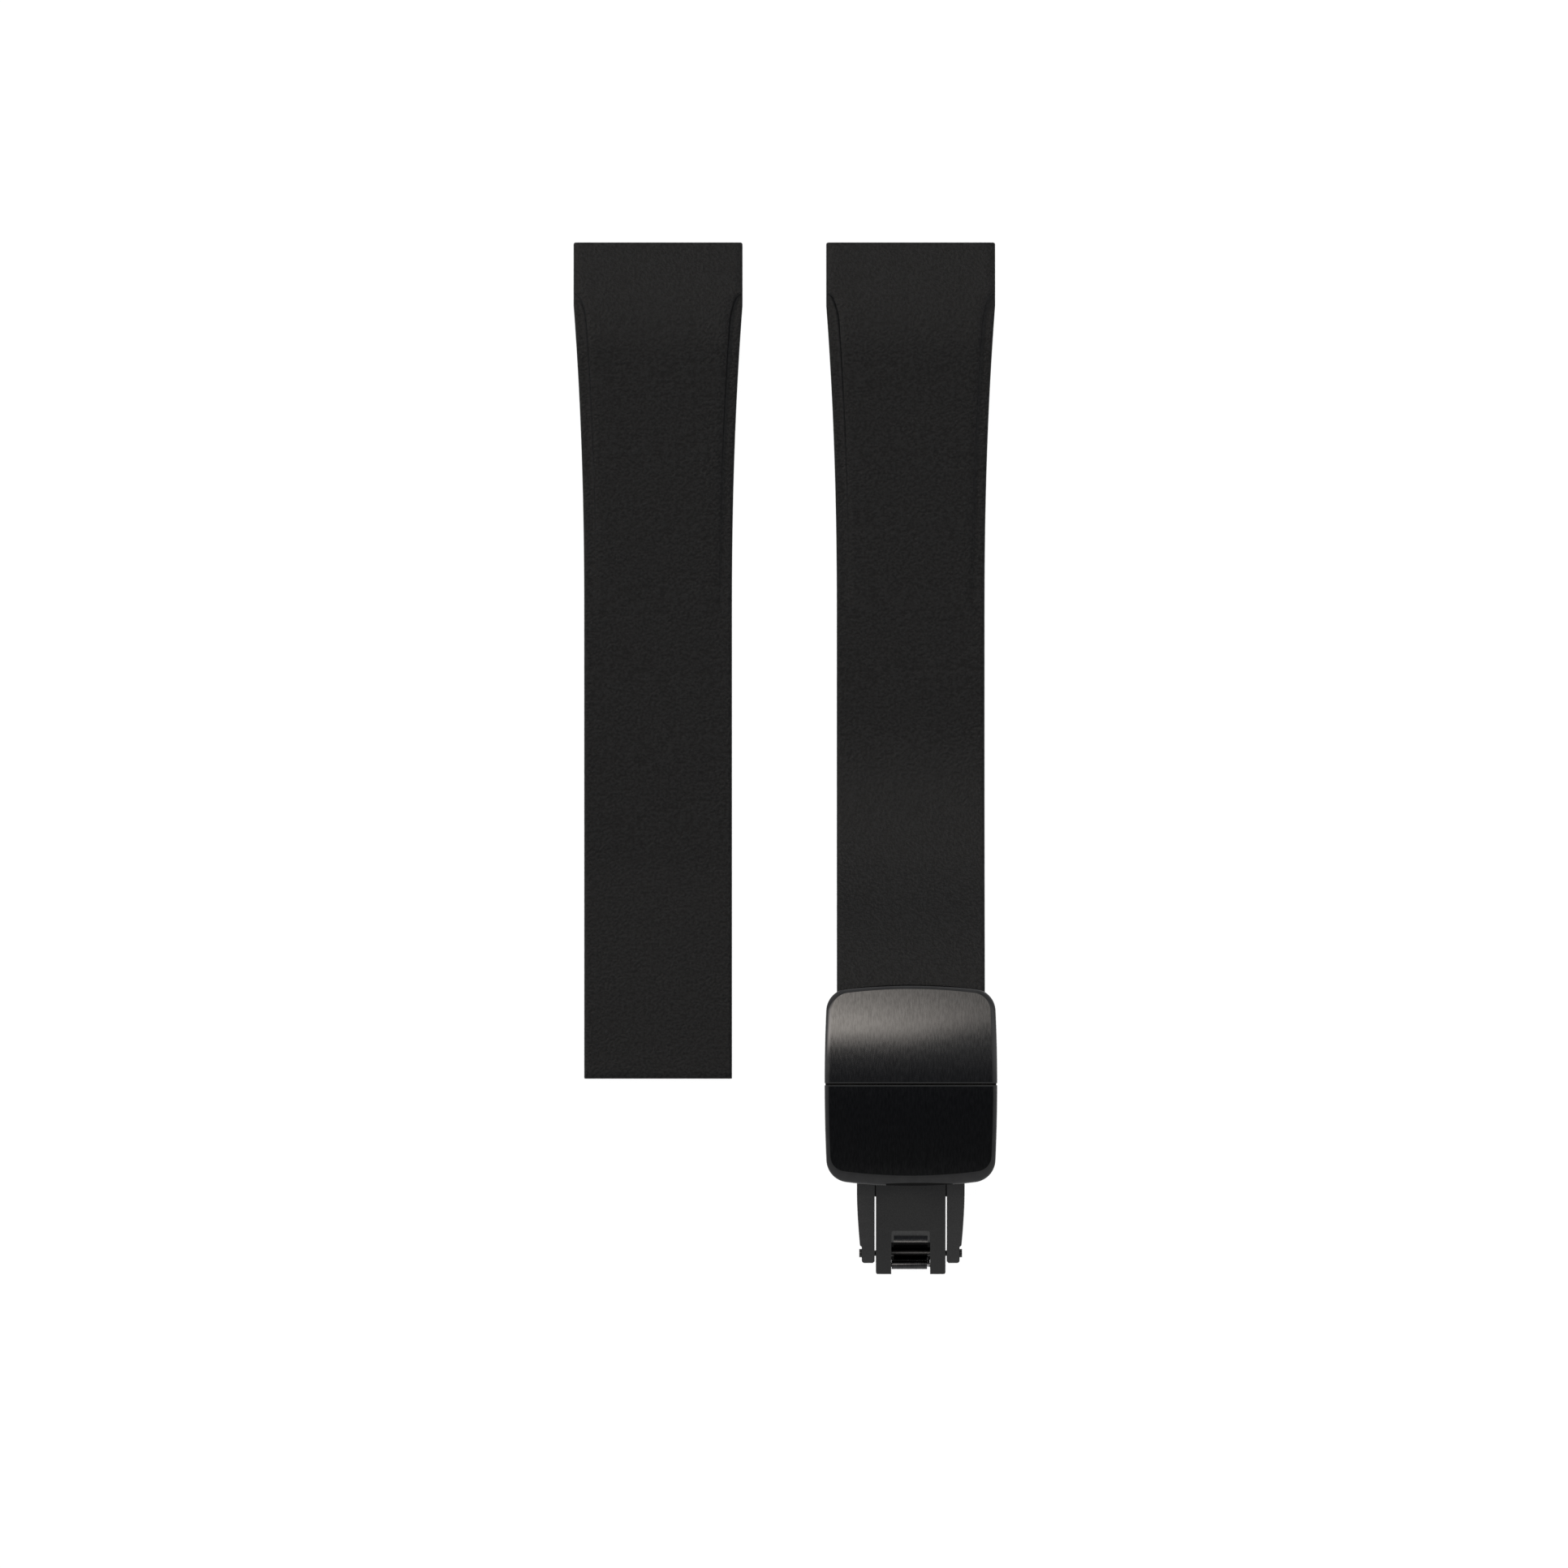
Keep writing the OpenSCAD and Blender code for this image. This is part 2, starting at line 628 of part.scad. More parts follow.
// A cover: a box for the strap's end, with the bore for the strap screw
module cover_body(length, bevel, lower) {
    ledge_top = plate_top + ledge_t + (lower ? 0 : ledge_gap);
    difference() {
        union() {
            cover_outer(length, bevel);
            split_strip(plate_top, ledge_top, lower ? -ledge_reach : ledge_reach + wall_gap);
            split_strip(ledge_top, roof_out - split_depth, lower ? wall_gap : 0);
        }
        arc_plate(plate_top + floor_t, roof_in)
            plan_box(-pocket_w / 2, pocket_w / 2, strap_start, length + OVER);
        cross_rod(screw_y, screw_lvl, screw_r, -cover_w / 2 + screw_inset, cover_w);
        cross_rod(screw_y, screw_lvl, screw_head_r + pin_gap,
            cover_w / 2 - screw_inset - screw_head_t, cover_w);
        at_cover_screws() cylinder(h = plate_top + floor_t + OVER, r = cover_screw_r);
    }
}

// Two screws that hold a cover on its plate, heads on the wrist side
module cover_screws_body() {
    at_cover_screws() {
        translate([0, 0, plate_in + screw_sink])
            cylinder(h = cover_screw_head_t - screw_sink, r = cover_screw_head_r);
        translate([0, 0, plate_in + screw_sink])
            cylinder(h = plate_t + floor_t - 2 * screw_sink, r = cover_screw_r);
    }
}

// The slotted screw that holds a strap's end
module strap_screw_body() {
    difference() {
        union() {
            cross_rod(screw_y, screw_lvl, screw_r, -cover_w / 2 + screw_inset,
                cover_w / 2 - screw_inset - screw_head_t);
            cross_rod(screw_y, screw_lvl, screw_head_r,
                cover_w / 2 - screw_inset - screw_head_t, cover_w / 2 - screw_inset);
        }
        translate([cover_w / 2 - screw_inset, screw_y, rise(screw_lvl, screw_y)])
            cube([screw_slot, screw_slot, 3], center = true);
    }
}

// The catch bar's sleeve, its ends drawn in round the tips
module bar_sleeve_body() {
    difference() {
        cross_rod(catch_y, catch_lvl, sleeve_r, sleeve_left, sleeve_right);
        cross_rod(catch_y, catch_lvl, tip_r + lip_gap, sleeve_left - OVER, sleeve_right + OVER);
        cross_rod(catch_y, catch_lvl, sleeve_bore_r, sleeve_left + sleeve_lip,
            sleeve_right - sleeve_lip);
    }
}

// A catch bar's tips: a shank and the collar that keeps it in the sleeve
module bar_tip_left_body() {
    cross_rod(catch_y, catch_lvl, tip_r, -notch_w / 2 - tip_reach, spring_left);
    cross_rod(catch_y, catch_lvl, collar_r, spring_left - collar_t, spring_left);
}

module bar_tip_right_body() {
    cross_rod(catch_y, catch_lvl, tip_r, spring_right, notch_w / 2 + tip_reach);
    cross_rod(catch_y, catch_lvl, collar_r, spring_right, spring_right + collar_t);
}

// The spring between the tips, one open tube wound round the bar's axis
module bar_spring_body() {
    sides = spring_sides;
    rings = spring_turns * turn_steps;
    length = spring_right - spring_left - 2 * spring_wire_r;
    function ring_point(i, k) = let (a = 360 * i / turn_steps, b = 360 * k / sides)
        [spring_left + spring_wire_r + length * i / rings + spring_wire_r * sin(b),
         (spring_r + spring_wire_r * cos(b)) * cos(a),
         (spring_r + spring_wire_r * cos(b)) * sin(a)];
    points = [for (i = [0:rings]) for (k = [0:sides - 1]) ring_point(i, k)];
    walls = [for (i = [0:rings - 1]) for (k = [0:sides - 1]) let (n = (k + 1) % sides)
        each [[i * sides + k, (i + 1) * sides + k, (i + 1) * sides + n],
              [i * sides + k, (i + 1) * sides + n, i * sides + n]]];
    start_cap = [for (k = [1:sides - 2]) [0, k, k + 1]];
    end_cap = [for (k = [1:sides - 2]) [rings * sides, rings * sides + k + 1, rings * sides + k]];
    translate([0, catch_y, rise(catch_lvl, catch_y)])
        polyhedron(points, concat(walls, start_cap, end_cap));
}

module tail_strap() { color(rubber) on_tail() strap_half(false); }
module tail_lug_tube() { color(bar_steel) on_tail() lug_tube(); }
module clasp_strap() { color(rubber) on_clasp() strap_half(true); }
module clasp_lug_tube() { color(bar_steel) on_clasp() lug_tube(); }
module base_blade() { color(black_steel) side(false) base_body(); }

module link_right(lower) { color(black_steel) side(lower) link_body(); }
module link_left(lower) { color(black_steel) side(lower) mirror([1, 0, 0]) link_body(); }
module base_pin(lower) { color(black_steel) side(lower) base_pin_body(); }
module plate_pin(lower) { color(black_steel) side(lower) plate_pin_body(); }
module plate(lower) { color(black_steel) side(lower) plate_body(); }
module cover_screws(lower) { color(black_steel) side(lower) cover_screws_body(); }
module strap_screw(lower) { color(black_steel) side(lower) strap_screw_body(); }
module bar_sleeve(lower) { color(bar_steel) side(lower) bar_sleeve_body(); }
module bar_tip_left(lower) { color(bar_steel) side(lower) bar_tip_left_body(); }
module bar_tip_right(lower) { color(bar_steel) side(lower) bar_tip_right_body(); }
module bar_spring(lower) { color(bar_steel) side(lower) bar_spring_body(); }

module upper_cover() { color(black_steel) side(false) cover_body(upper_len, upper_bevel, false); }

// The nail notch, a wide shallow bite out of the plan's front edge
module nail_bite() {
    intersection() {
        translate([nail_x, lower_len + nail_r - nail_depth]) circle(nail_r, $fn = ARC_FN);
        plan_box(nail_x - nail_w / 2, nail_x + nail_w / 2, 0, lower_len + OVER);
    }
}

// The lower cover also has the nail notch, cut through its roof only
module lower_cover() {
    color(black_steel) side(true) difference() {
        cover_body(lower_len, lower_bevel, true);
        translate([0, 0, rise(screw_lvl, lower_len)]) linear_extrude(roof_out) nail_bite();
    }
}

tail_strap();
tail_lug_tube();
clasp_strap();
clasp_lug_tube();
base_blade();
link_left(true);  // lower_link_left
link_right(true);  // lower_link_right
base_pin(true);  // lower_base_pin
plate_pin(true);  // lower_plate_pin
plate(true);  // lower_plate
lower_cover();
cover_screws(true);  // lower_cover_screws
strap_screw(true);  // lower_strap_screw
bar_sleeve(true);  // lower_bar_sleeve
bar_tip_left(true);  // lower_bar_tip_left
bar_tip_right(true);  // lower_bar_tip_right
bar_spring(true);  // lower_bar_spring
link_left(false);  // upper_link_left
link_right(false);  // upper_link_right
base_pin(false);  // upper_base_pin
plate_pin(false);  // upper_plate_pin
plate(false);  // upper_plate
upper_cover();
cover_screws(false);  // upper_cover_screws
strap_screw(false);  // upper_strap_screw
bar_sleeve(false);  // upper_bar_sleeve
bar_tip_left(false);  // upper_bar_tip_left
bar_tip_right(false);  // upper_bar_tip_right
bar_spring(false);  // upper_bar_spring
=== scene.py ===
"""Looks of a two-part rubber watch strap with a double folding clasp, seen from straight above on white."""

import math

import bmesh
import bpy
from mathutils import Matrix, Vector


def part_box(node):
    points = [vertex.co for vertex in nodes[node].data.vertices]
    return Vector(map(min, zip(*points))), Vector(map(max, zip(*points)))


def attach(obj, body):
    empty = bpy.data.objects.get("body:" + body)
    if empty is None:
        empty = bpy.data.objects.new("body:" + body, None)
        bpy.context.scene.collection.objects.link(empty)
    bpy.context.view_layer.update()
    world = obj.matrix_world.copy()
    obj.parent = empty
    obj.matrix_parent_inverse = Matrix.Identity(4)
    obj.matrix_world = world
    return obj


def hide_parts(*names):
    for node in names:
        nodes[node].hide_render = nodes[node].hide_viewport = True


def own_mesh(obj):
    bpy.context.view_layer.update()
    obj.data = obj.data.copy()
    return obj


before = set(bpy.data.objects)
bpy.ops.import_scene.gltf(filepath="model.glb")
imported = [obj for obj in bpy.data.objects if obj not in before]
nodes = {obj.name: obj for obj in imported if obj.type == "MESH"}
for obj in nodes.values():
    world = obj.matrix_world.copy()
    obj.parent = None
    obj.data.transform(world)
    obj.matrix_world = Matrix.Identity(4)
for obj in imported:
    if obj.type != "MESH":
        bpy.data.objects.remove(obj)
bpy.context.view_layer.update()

MM = 0.001

# Sizes of a strap half, as in the part's source
LUG_HALF = 10.0 * MM
TAIL_HALF = 8.75 * MM
STRAP_LEN = 99.0 * MM
LUG_TIP_H = 3.26 * MM
CROWN_H = 4.8 * MM
CROWN_S = 12.5 * MM
TIP_STRAIGHT = 5.0 * MM
TAIL_H = 2.55 * MM
TAIL_FLAT = 25.0 * MM
TAIL_S = STRAP_LEN - TAIL_FLAT
LUG_BLOCK = 7.5 * MM
WAIST_S = 44.0 * MM
WAIST_POWER = 2.2
SHOULDER_W = 1.4 * MM
SHOULDER_DEPTH = 0.6 * MM
SHOULDER_START = 6.0 * MM
SHOULDER_RUN = 3.6 * MM
SHOULDER_FADE = 0.6 * MM
TUBE_S = 2.0 * MM
TUBE_R = 1.2 * MM
BORE_S = 5.3 * MM
BORE_PITCH = 4.0 * MM
BORE_COUNT = 4
BORE_R = 0.65 * MM
MARK_R = 0.15 * MM

# Sizes of the two covers, as in the part's source
COVER_HALF = 10.2 * MM
LOWER_LEN = 12.05 * MM
UPPER_LEN = 11.75 * MM
FRONT_R = 62.0 * MM
SIDE_R = 200.0 * MM
CORNER_R = 2.7 * MM
FLOOR_T = 0.6 * MM
ROOF_T = 1.0 * MM
POCKET_GAP = 0.05 * MM
POCKET_HALF = TAIL_HALF + POCKET_GAP
STRIP_INSET = 0.1 * MM
SPLIT_HALF = 0.13 * MM
SPLIT_WALL = 0.45 * MM
SPLIT_DEPTH = 0.6 * MM
WALL_GAP = 0.04 * MM
LEDGE_T = 0.45 * MM
LEDGE_REACH = 0.03 * MM
LEDGE_GAP = 0.15 * MM
SCREW_R = 0.6 * MM
SCREW_HEAD_BORE_R = 0.89 * MM
SCREW_HEAD_T = 0.5 * MM
SCREW_INSET = 0.55 * MM
NAIL_W = 7.9 * MM
NAIL_X = 1.0 * MM
NAIL_DEPTH = 0.4 * MM
NAIL_R = 80.0 * MM

# Radii of the clasp's layers and of the right half's bend, and where a strap's cut end lies from the split
PLATE_TOP = 52.6 * MM
STRAP_IN = PLATE_TOP + FLOOR_T + POCKET_GAP
ROOF_IN = STRAP_IN + TAIL_H + POCKET_GAP
ROOF_OUT = ROOF_IN + ROOF_T
BEND_R = 60.0 * MM
STRAP_START = SPLIT_HALF + SPLIT_WALL

# Rounding of the covers' edges: its width and height along the sides, then along the front, the turn of its
# arc, and the radius of the roof's crown from side to side
LOWER_ROUNDS = ((0.5 * MM, 0.34 * MM), (1.25 * MM, 0.45 * MM))
UPPER_ROUNDS = ((0.62 * MM, 0.36 * MM), (0.5 * MM, 0.42 * MM))
ROUND_TURN = math.radians(75)
CROWN_R = 200.0 * MM

# Width and depth of the fine bevel at the split
SPLIT_BEVEL = (0.1 * MM, 0.07 * MM)

# Where shade is painted on the base's top, as it lies deep: beside its middle and beyond its tongues, on
# faces that point upwards
PAINTED_SHADE_BESIDE = 3.9 * MM
PAINTED_SHADE_BEYOND = 18.8 * MM
PAINTED_SHADE_FACING_UP = 0.3

# Points along a cover's outline, round its edges and over its roof, and half the line at the split on which
# the roof's rows end
SIDE_STEPS = 14
CORNER_STEPS = 14
FRONT_STEPS = 16
EDGE_STEPS = 10
ROOF_STEPS = 14
SPINE_HALF = 6.0 * MM

# Roundings of the moulded rubber
EDGE_R = 0.25 * MM
LIP_R = 0.1 * MM
FOOT_W = 0.55 * MM
CUT_R = 0.08 * MM

# Points along the rubber's section: underside, rounded edges, walls, the shoulder's foot and the top
UNDER_STEPS = 6
ROUND_STEPS = 3
WALL_STEPS = 3
FOOT_STEPS = 6
TOP_STEPS = 10

# Sections along the rubber: over its rounded lug end, then in mm from it and dense where the shoulders
# start, along the rest and over its cut end
LUG_END_STEPS = 4
LUG_STATIONS = (0.7, 1.4, 2.2, 3, 4, 5, 5.6, 6, 6.05, 6.12, 6.22, 6.35, 6.55, 6.8, 7.15, 7.5, 8, 8.5, 9, 9.6)
BODY_STEPS = 110
CUT_END_STEPS = 2

# Points round a rod, along a curved block and along the nail notch, and how far cutters reach past their cut
ROD_SIDES = 32
BLOCK_STEPS = 24
NAIL_STEPS = 16
PAST = 1.0 * MM

# The covers' finishes, by the place of their materials
BRUSHED = 0
POLISHED = 1

# Turns in degrees: edges above these stay sharp, on the covers and elsewhere, or get the small bevel
COVER_SHARP = 30
SHARP = 38
BEVELLED = 28

# How near corners of a CAD mesh are welded, and its small bevels
WELD_REACH = 0.002 * MM
BEVEL_SEGMENTS = 3
PLATE_EDGE = 0.12 * MM
LINK_EDGE = 0.1 * MM
RIVET_EDGE = 0.12 * MM
PIN_EDGE = 0.05 * MM
BAR_EDGE = 0.04 * MM

# How strongly large faces rule the shading of their smooth edges, where 50 is neutral
FACE_WEIGHT = 100

# How dark the coated steel is, from 0 to 1; both covers are one steel, and the lower cover's lower level is
# painted shade
LOWER_COVER_SHADED_LEVEL = 0.042
UPPER_COVER_LEVEL = 0.051
PLATE_LEVEL = 0.053
LINK_LEVEL = 0.065

# The photograph's frame, in pixels: its side, its scale and where the shared frame's origin lies in it
PHOTO_SIDE = 1932
PX_PER_MM = 10.412
OBJECT_X_PX = 967.5
OBJECT_Y_PX = 934.3

# The camera: its height and the range that it sees in metres, and the height at which the scale above holds
CAMERA_HEIGHT = 4.0
CLIP_START = 0.01
CLIP_END = 20.0
FOCUS_HEIGHT = 4.0 * MM
SENSOR_MM = 36.0

# The sky's brightness and tint by the angle in degrees from straight above
SKY = ((0, 0.11), (20, 0.125), (23, 0.2), (29, 0.42), (40, 0.55), (60, 0.62), (75, 0.7), (90, 1.0))
SKY_COLOUR = ((0, (0.95, 1.0, 1.16)), (30, (1, 1, 1)))

# The key light: a soft toe and a core, by the angle in degrees along the strap and across it
KEY_TOE = ((-2, 0), (1, 0.07), (3.2, 0.11), (5.5, 0.18), (7, 0.25), (9, 0.33), (20, 0.4), (36, 0))
KEY_ALONG = ((4, 0), (5.5, 0.01), (7, 0.03), (8, 0.07), (9, 0.17), (10.3, 0.43), (11.6, 0.74),
             (12.8, 0.95), (14, 1.0), (17.2, 0.78), (19.6, 0.62), (22, 0.5), (28, 0.25), (36, 0))
KEY_ACROSS = ((-60, 0), (-45, 0.4), (-32, 0.9), (-12, 1.0), (-5, 0.8), (0, 0.555), (4.6, 0.28),
              (10, 0.1), (16, 0))

# How far the key light's core slants towards the right, its strength and its colour
KEY_SLANT = 0.5
KEY_STRENGTH = 5.6
KEY_COLOUR = (1.08, 1.0, 0.92, 1)

# The floor: half its side and its drop below the object, its grey for light that bounces, and for the camera
# how much of the white backdrop it lets through and how much light and shadow add
FLOOR_HALF = 3.0
FLOOR_DROP = 0.02 * MM
FLOOR_GREY = 0.8
FLOOR_CLEAR = 0.965
FLOOR_SHADE = 0.12

# Places worked out from the frame: the middle of each half and the split line, which halves the base
tail_x = sum(corner.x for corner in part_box("tail_strap")) / 2
clasp_x = sum(corner.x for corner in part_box("clasp_strap")) / 2
split_y = sum(corner.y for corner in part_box("base_blade")) / 2
arch_drop = STRAP_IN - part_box("clasp_strap")[1].z + TAIL_H


def half_width(s):
    """Half the strap's width at distance s from the lug end."""
    if s <= LUG_BLOCK:
        return LUG_HALF
    if s >= WAIST_S:
        return TAIL_HALF
    share = 1 - (s - LUG_BLOCK) / (WAIST_S - LUG_BLOCK)
    return TAIL_HALF + (LUG_HALF - TAIL_HALF) * share ** WAIST_POWER


def crown_half_width(s):
    """Half the width of the raised middle."""
    if s <= SHOULDER_START:
        return half_width(s)
    share = min(1, (s - SHOULDER_START) / SHOULDER_RUN)
    return half_width(s) - SHOULDER_W * math.sqrt(1 - (1 - share) ** 2)


def thickness(s):
    """Thickness of the raised middle."""
    slope = 2 * (CROWN_H - LUG_TIP_H) / (CROWN_S + TIP_STRAIGHT)
    if s <= TIP_STRAIGHT:
        return LUG_TIP_H + slope * s
    if s <= CROWN_S:
        return CROWN_H - slope * (CROWN_S - s) ** 2 / (CROWN_S - TIP_STRAIGHT) / 2
    if s <= TAIL_S:
        return CROWN_H + (TAIL_H - CROWN_H) * (s - CROWN_S) / (TAIL_S - CROWN_S)
    return TAIL_H


def shoulder_depth(s):
    """How far the shoulder lies below the raised middle."""
    fade = WAIST_S - SHOULDER_FADE
    share = (fade - max(s, SHOULDER_START)) / (fade - SHOULDER_START)
    return SHOULDER_DEPTH * max(0, share)


def shares(steps):
    """Even steps from 0 to 1, without the 0."""
    return [i / steps for i in range(1, steps + 1)]


def quarter(steps):
    """Sine and cosine at even steps of a quarter turn, without its start."""
    return [(math.sin(math.pi / 2 * share), math.cos(math.pi / 2 * share)) for share in shares(steps)]


def half_section(s, inset):
    """Right half of the section at s, from the middle of the underside to the middle of the top."""
    w = half_width(s)
    c = crown_half_width(s)
    h = thickness(s)
    depth = shoulder_depth(s)
    low = h - depth
    gap = w - c
    top_r = min(EDGE_R, gap)
    foot = min(FOOT_W, max(0, gap - top_r))
    blend = min(1, max(0, (s - SHOULDER_START + EDGE_R) / SHOULDER_RUN))
    lip = min(EDGE_R + (LIP_R - EDGE_R) * blend, depth * 0.5 + EDGE_R * (1 - blend))
    points = [(0, 0)]
    points += [((w - EDGE_R) * share, 0) for share in shares(UNDER_STEPS)]
    points += [(w - EDGE_R + EDGE_R * sin, EDGE_R - EDGE_R * cos) for sin, cos in quarter(ROUND_STEPS)]
    points += [(w, EDGE_R + (low - top_r - EDGE_R) * share) for share in shares(WALL_STEPS)]
    points += [(w - top_r + top_r * cos, low - top_r + top_r * sin) for sin, cos in quarter(ROUND_STEPS)]
    points += [(w - top_r - (gap - top_r - foot) * share, low) for share in shares(WALL_STEPS)]
    points += [(c + foot * (1 - sin), low + (depth - lip) * (1 - cos)) for sin, cos in quarter(FOOT_STEPS)]
    points += [(c - lip * (1 - cos), h - lip + lip * sin) for sin, cos in quarter(ROUND_STEPS)]
    points += [((c - lip) * (1 - share), h) for share in shares(TOP_STEPS)]
    return [(x * (w - inset) / w, inset + z * (h - 2 * inset) / h) for x, z in points]


def path(y, curved):
    """Point under the strap and the way up from it, at distance y from the split line."""
    height = STRAP_IN + BEND_R
    flat_y = math.sqrt(height ** 2 - (BEND_R + arch_drop) ** 2)
    turn_y = STRAP_IN * flat_y / height
    if not curved or y >= flat_y:
        return (y, 0), (0, 1)
    if y <= turn_y:
        rise = math.sqrt(STRAP_IN ** 2 - y ** 2)
        return (y, rise - arch_drop), (y / STRAP_IN, rise / STRAP_IN)
    run = flat_y - y
    fall = math.sqrt(BEND_R ** 2 - run ** 2)
    return (y, BEND_R - fall), (run / BEND_R, fall / BEND_R)


def stations():
    """Distance from the lug end and inset of each section, so that both ends are rounded."""
    rows = [(EDGE_R * (1 - cos), EDGE_R * (1 - sin)) for sin, cos in [(0, 1)] + quarter(LUG_END_STEPS)]
    rows += [(value * MM, 0) for value in LUG_STATIONS]
    first = rows[-1][0]
    reach = STRAP_LEN - CUT_R
    rows += [(first + (reach - first) * share, 0) for share in shares(BODY_STEPS)]
    rows += [(reach + CUT_R * sin, CUT_R * (1 - cos)) for sin, cos in quarter(CUT_END_STEPS)]
    return rows


def new_mesh(name, points, faces):
    """A mesh object from points and faces, with smooth shading but for its sharp edges."""
    mesh = bpy.data.meshes.new(name)
    mesh.from_pydata(points, [], faces)
    mesh.validate()
    mesh.update()
    obj = bpy.data.objects.new(name, mesh)
    bpy.context.scene.collection.objects.link(obj)
    smooth(obj, SHARP)
    return obj


def smooth(obj, angle):
    """Smooth shading, but for edges that turn more than the angle and for those between two finishes."""
    mesh = obj.data
    for face in mesh.polygons:
        face.use_smooth = True
    mesh.set_sharp_from_angle(angle=math.radians(angle))
    finish = {}
    for face in mesh.polygons:
        for i in face.loop_indices:
            edge = mesh.loops[i].edge_index
            if finish.setdefault(edge, face.material_index) != face.material_index:
                mesh.edges[edge].use_edge_sharp = True


def rod_mesh(rods, name):
    """One object holding a rod along X for each (x, y, z, half length, radius)."""
    points, faces = [], []
    for x, y, z, half, radius in rods:
        first = len(points)
        second = first + ROD_SIDES
        for end in (-half, half):
            for i in range(ROD_SIDES):
                angle = 2 * math.pi * i / ROD_SIDES
                points.append((x + end, y + radius * math.cos(angle), z + radius * math.sin(angle)))
        for i in range(ROD_SIDES):
            j = (i + 1) % ROD_SIDES
            faces.append((first + i, first + j, second + j, second + i))
        faces.append(tuple(first + i for i in reversed(range(ROD_SIDES))))
        faces.append(tuple(second + i for i in range(ROD_SIDES)))
    return new_mesh(name, points, faces)


def combine(obj, other, operation):
    """Joins the other form to obj, or takes it out, and removes the other."""
    boolean = obj.modifiers.new("boolean", "BOOLEAN")
    boolean.operation = operation
    boolean.solver = "EXACT"
    boolean.material_mode = "TRANSFER"
    boolean.object = other
    depsgraph = bpy.context.evaluated_depsgraph_get()
    mesh = bpy.data.meshes.new_from_object(obj.evaluated_get(depsgraph))
    obj.modifiers.clear()
    obj.data = mesh
    bpy.data.objects.remove(other)


def strap_half(name, middle_x, curved):
    """One rubber half: its sections lofted along the path, with its tube seat and cross bores cut out."""
    points, faces = [], []

    def place(x, y, z):
        under, up = path(y, curved)
        return (middle_x + x, split_y + under[0] + up[0] * z, under[1] + up[1] * z)

    rows = stations()
    for s, inset in rows:
        right = half_section(s, inset)
        left = [(-x, z) for x, z in reversed(right[1:-1])]
        y = STRAP_START + STRAP_LEN - s
        points += [place(x, y, z) for x, z in right + left]
    ring = len(points) // len(rows)
    for row in range(len(rows) - 1):
        for i in range(ring):
            j = (i + 1) % ring
            a, b = row * ring, (row + 1) * ring
            faces.append((a + i, a + j, b + j, b + i))
    faces.append(tuple(reversed(range(ring))))
    last = (len(rows) - 1) * ring
    faces.append(tuple(last + i for i in range(ring)))
    obj = new_mesh(name, points, faces)

    first_y = STRAP_START + BORE_S
    holes = [(STRAP_START + STRAP_LEN - TUBE_S, thickness(TUBE_S) / 2, TUBE_R)]
    holes += [(first_y + i * BORE_PITCH, TAIL_H / 2, BORE_R) for i in range(BORE_COUNT)]
    holes += [(first_y + (i - 0.5) * BORE_PITCH, 0, MARK_R) for i in range(1, BORE_COUNT)]
    rods = [(*place(0, y, z), LUG_HALF + PAST, radius) for y, z, radius in holes]
    combine(obj, rod_mesh(rods, name + "_cutter"), "DIFFERENCE")
    smooth(obj, SHARP)
    return obj


def arch(radius, y):
    """Height of the clasp's curve of that radius at distance y from the split line."""
    return math.sqrt(radius ** 2 - y ** 2) - arch_drop


def meeting(a, r_a, b, r_b):
    """The point on the right where two circles meet, from their centres and radii."""
    d = math.dist(a, b)
    along = (r_a ** 2 - r_b ** 2 + d ** 2) / (2 * d)
    side = math.sqrt(r_a ** 2 - along ** 2)
    way = ((b[0] - a[0]) / d, (b[1] - a[1]) / d)
    return (a[0] + way[0] * along - way[1] * side, a[1] + way[1] * along + way[0] * side)


def arc(middle, radius, start, end, steps):
    """Points of an arc from one angle to another, without its last one."""
    for i in range(steps):
        angle = start + (end - start) * i / steps
        yield middle[0] + radius * math.cos(angle), middle[1] + radius * math.sin(angle)


def half_outline(length, side_in, front_in):
    """Right half of a cover's outline from the split to its middle, drawn in by these amounts."""
    corner_r = CORNER_R - (side_in + front_in) / 2
    side, side_r = (COVER_HALF - SIDE_R, 0), SIDE_R - side_in
    front, front_r = (0, length - FRONT_R), FRONT_R - front_in
    corner = meeting(side, side_r - corner_r, front, front_r - corner_r)
    first = math.asin((SPLIT_HALF + SPLIT_BEVEL[0]) / side_r)
    side_end = math.atan2(corner[1] - side[1], corner[0] - side[0])
    front_start = math.atan2(corner[1] - front[1], corner[0] - front[0])
    points = list(arc(side, side_r, first, side_end, SIDE_STEPS))
    points += arc(corner, corner_r, side_end, front_start, CORNER_STEPS)
    points += arc(front, front_r, front_start, math.pi / 2, FRONT_STEPS)
    return points + [(0, length - front_in)]


def roof(x, y):
    """Height of a cover's roof, which is slightly crowned from side to side."""
    return arch(ROOF_OUT, y) - x ** 2 / (2 * CROWN_R)


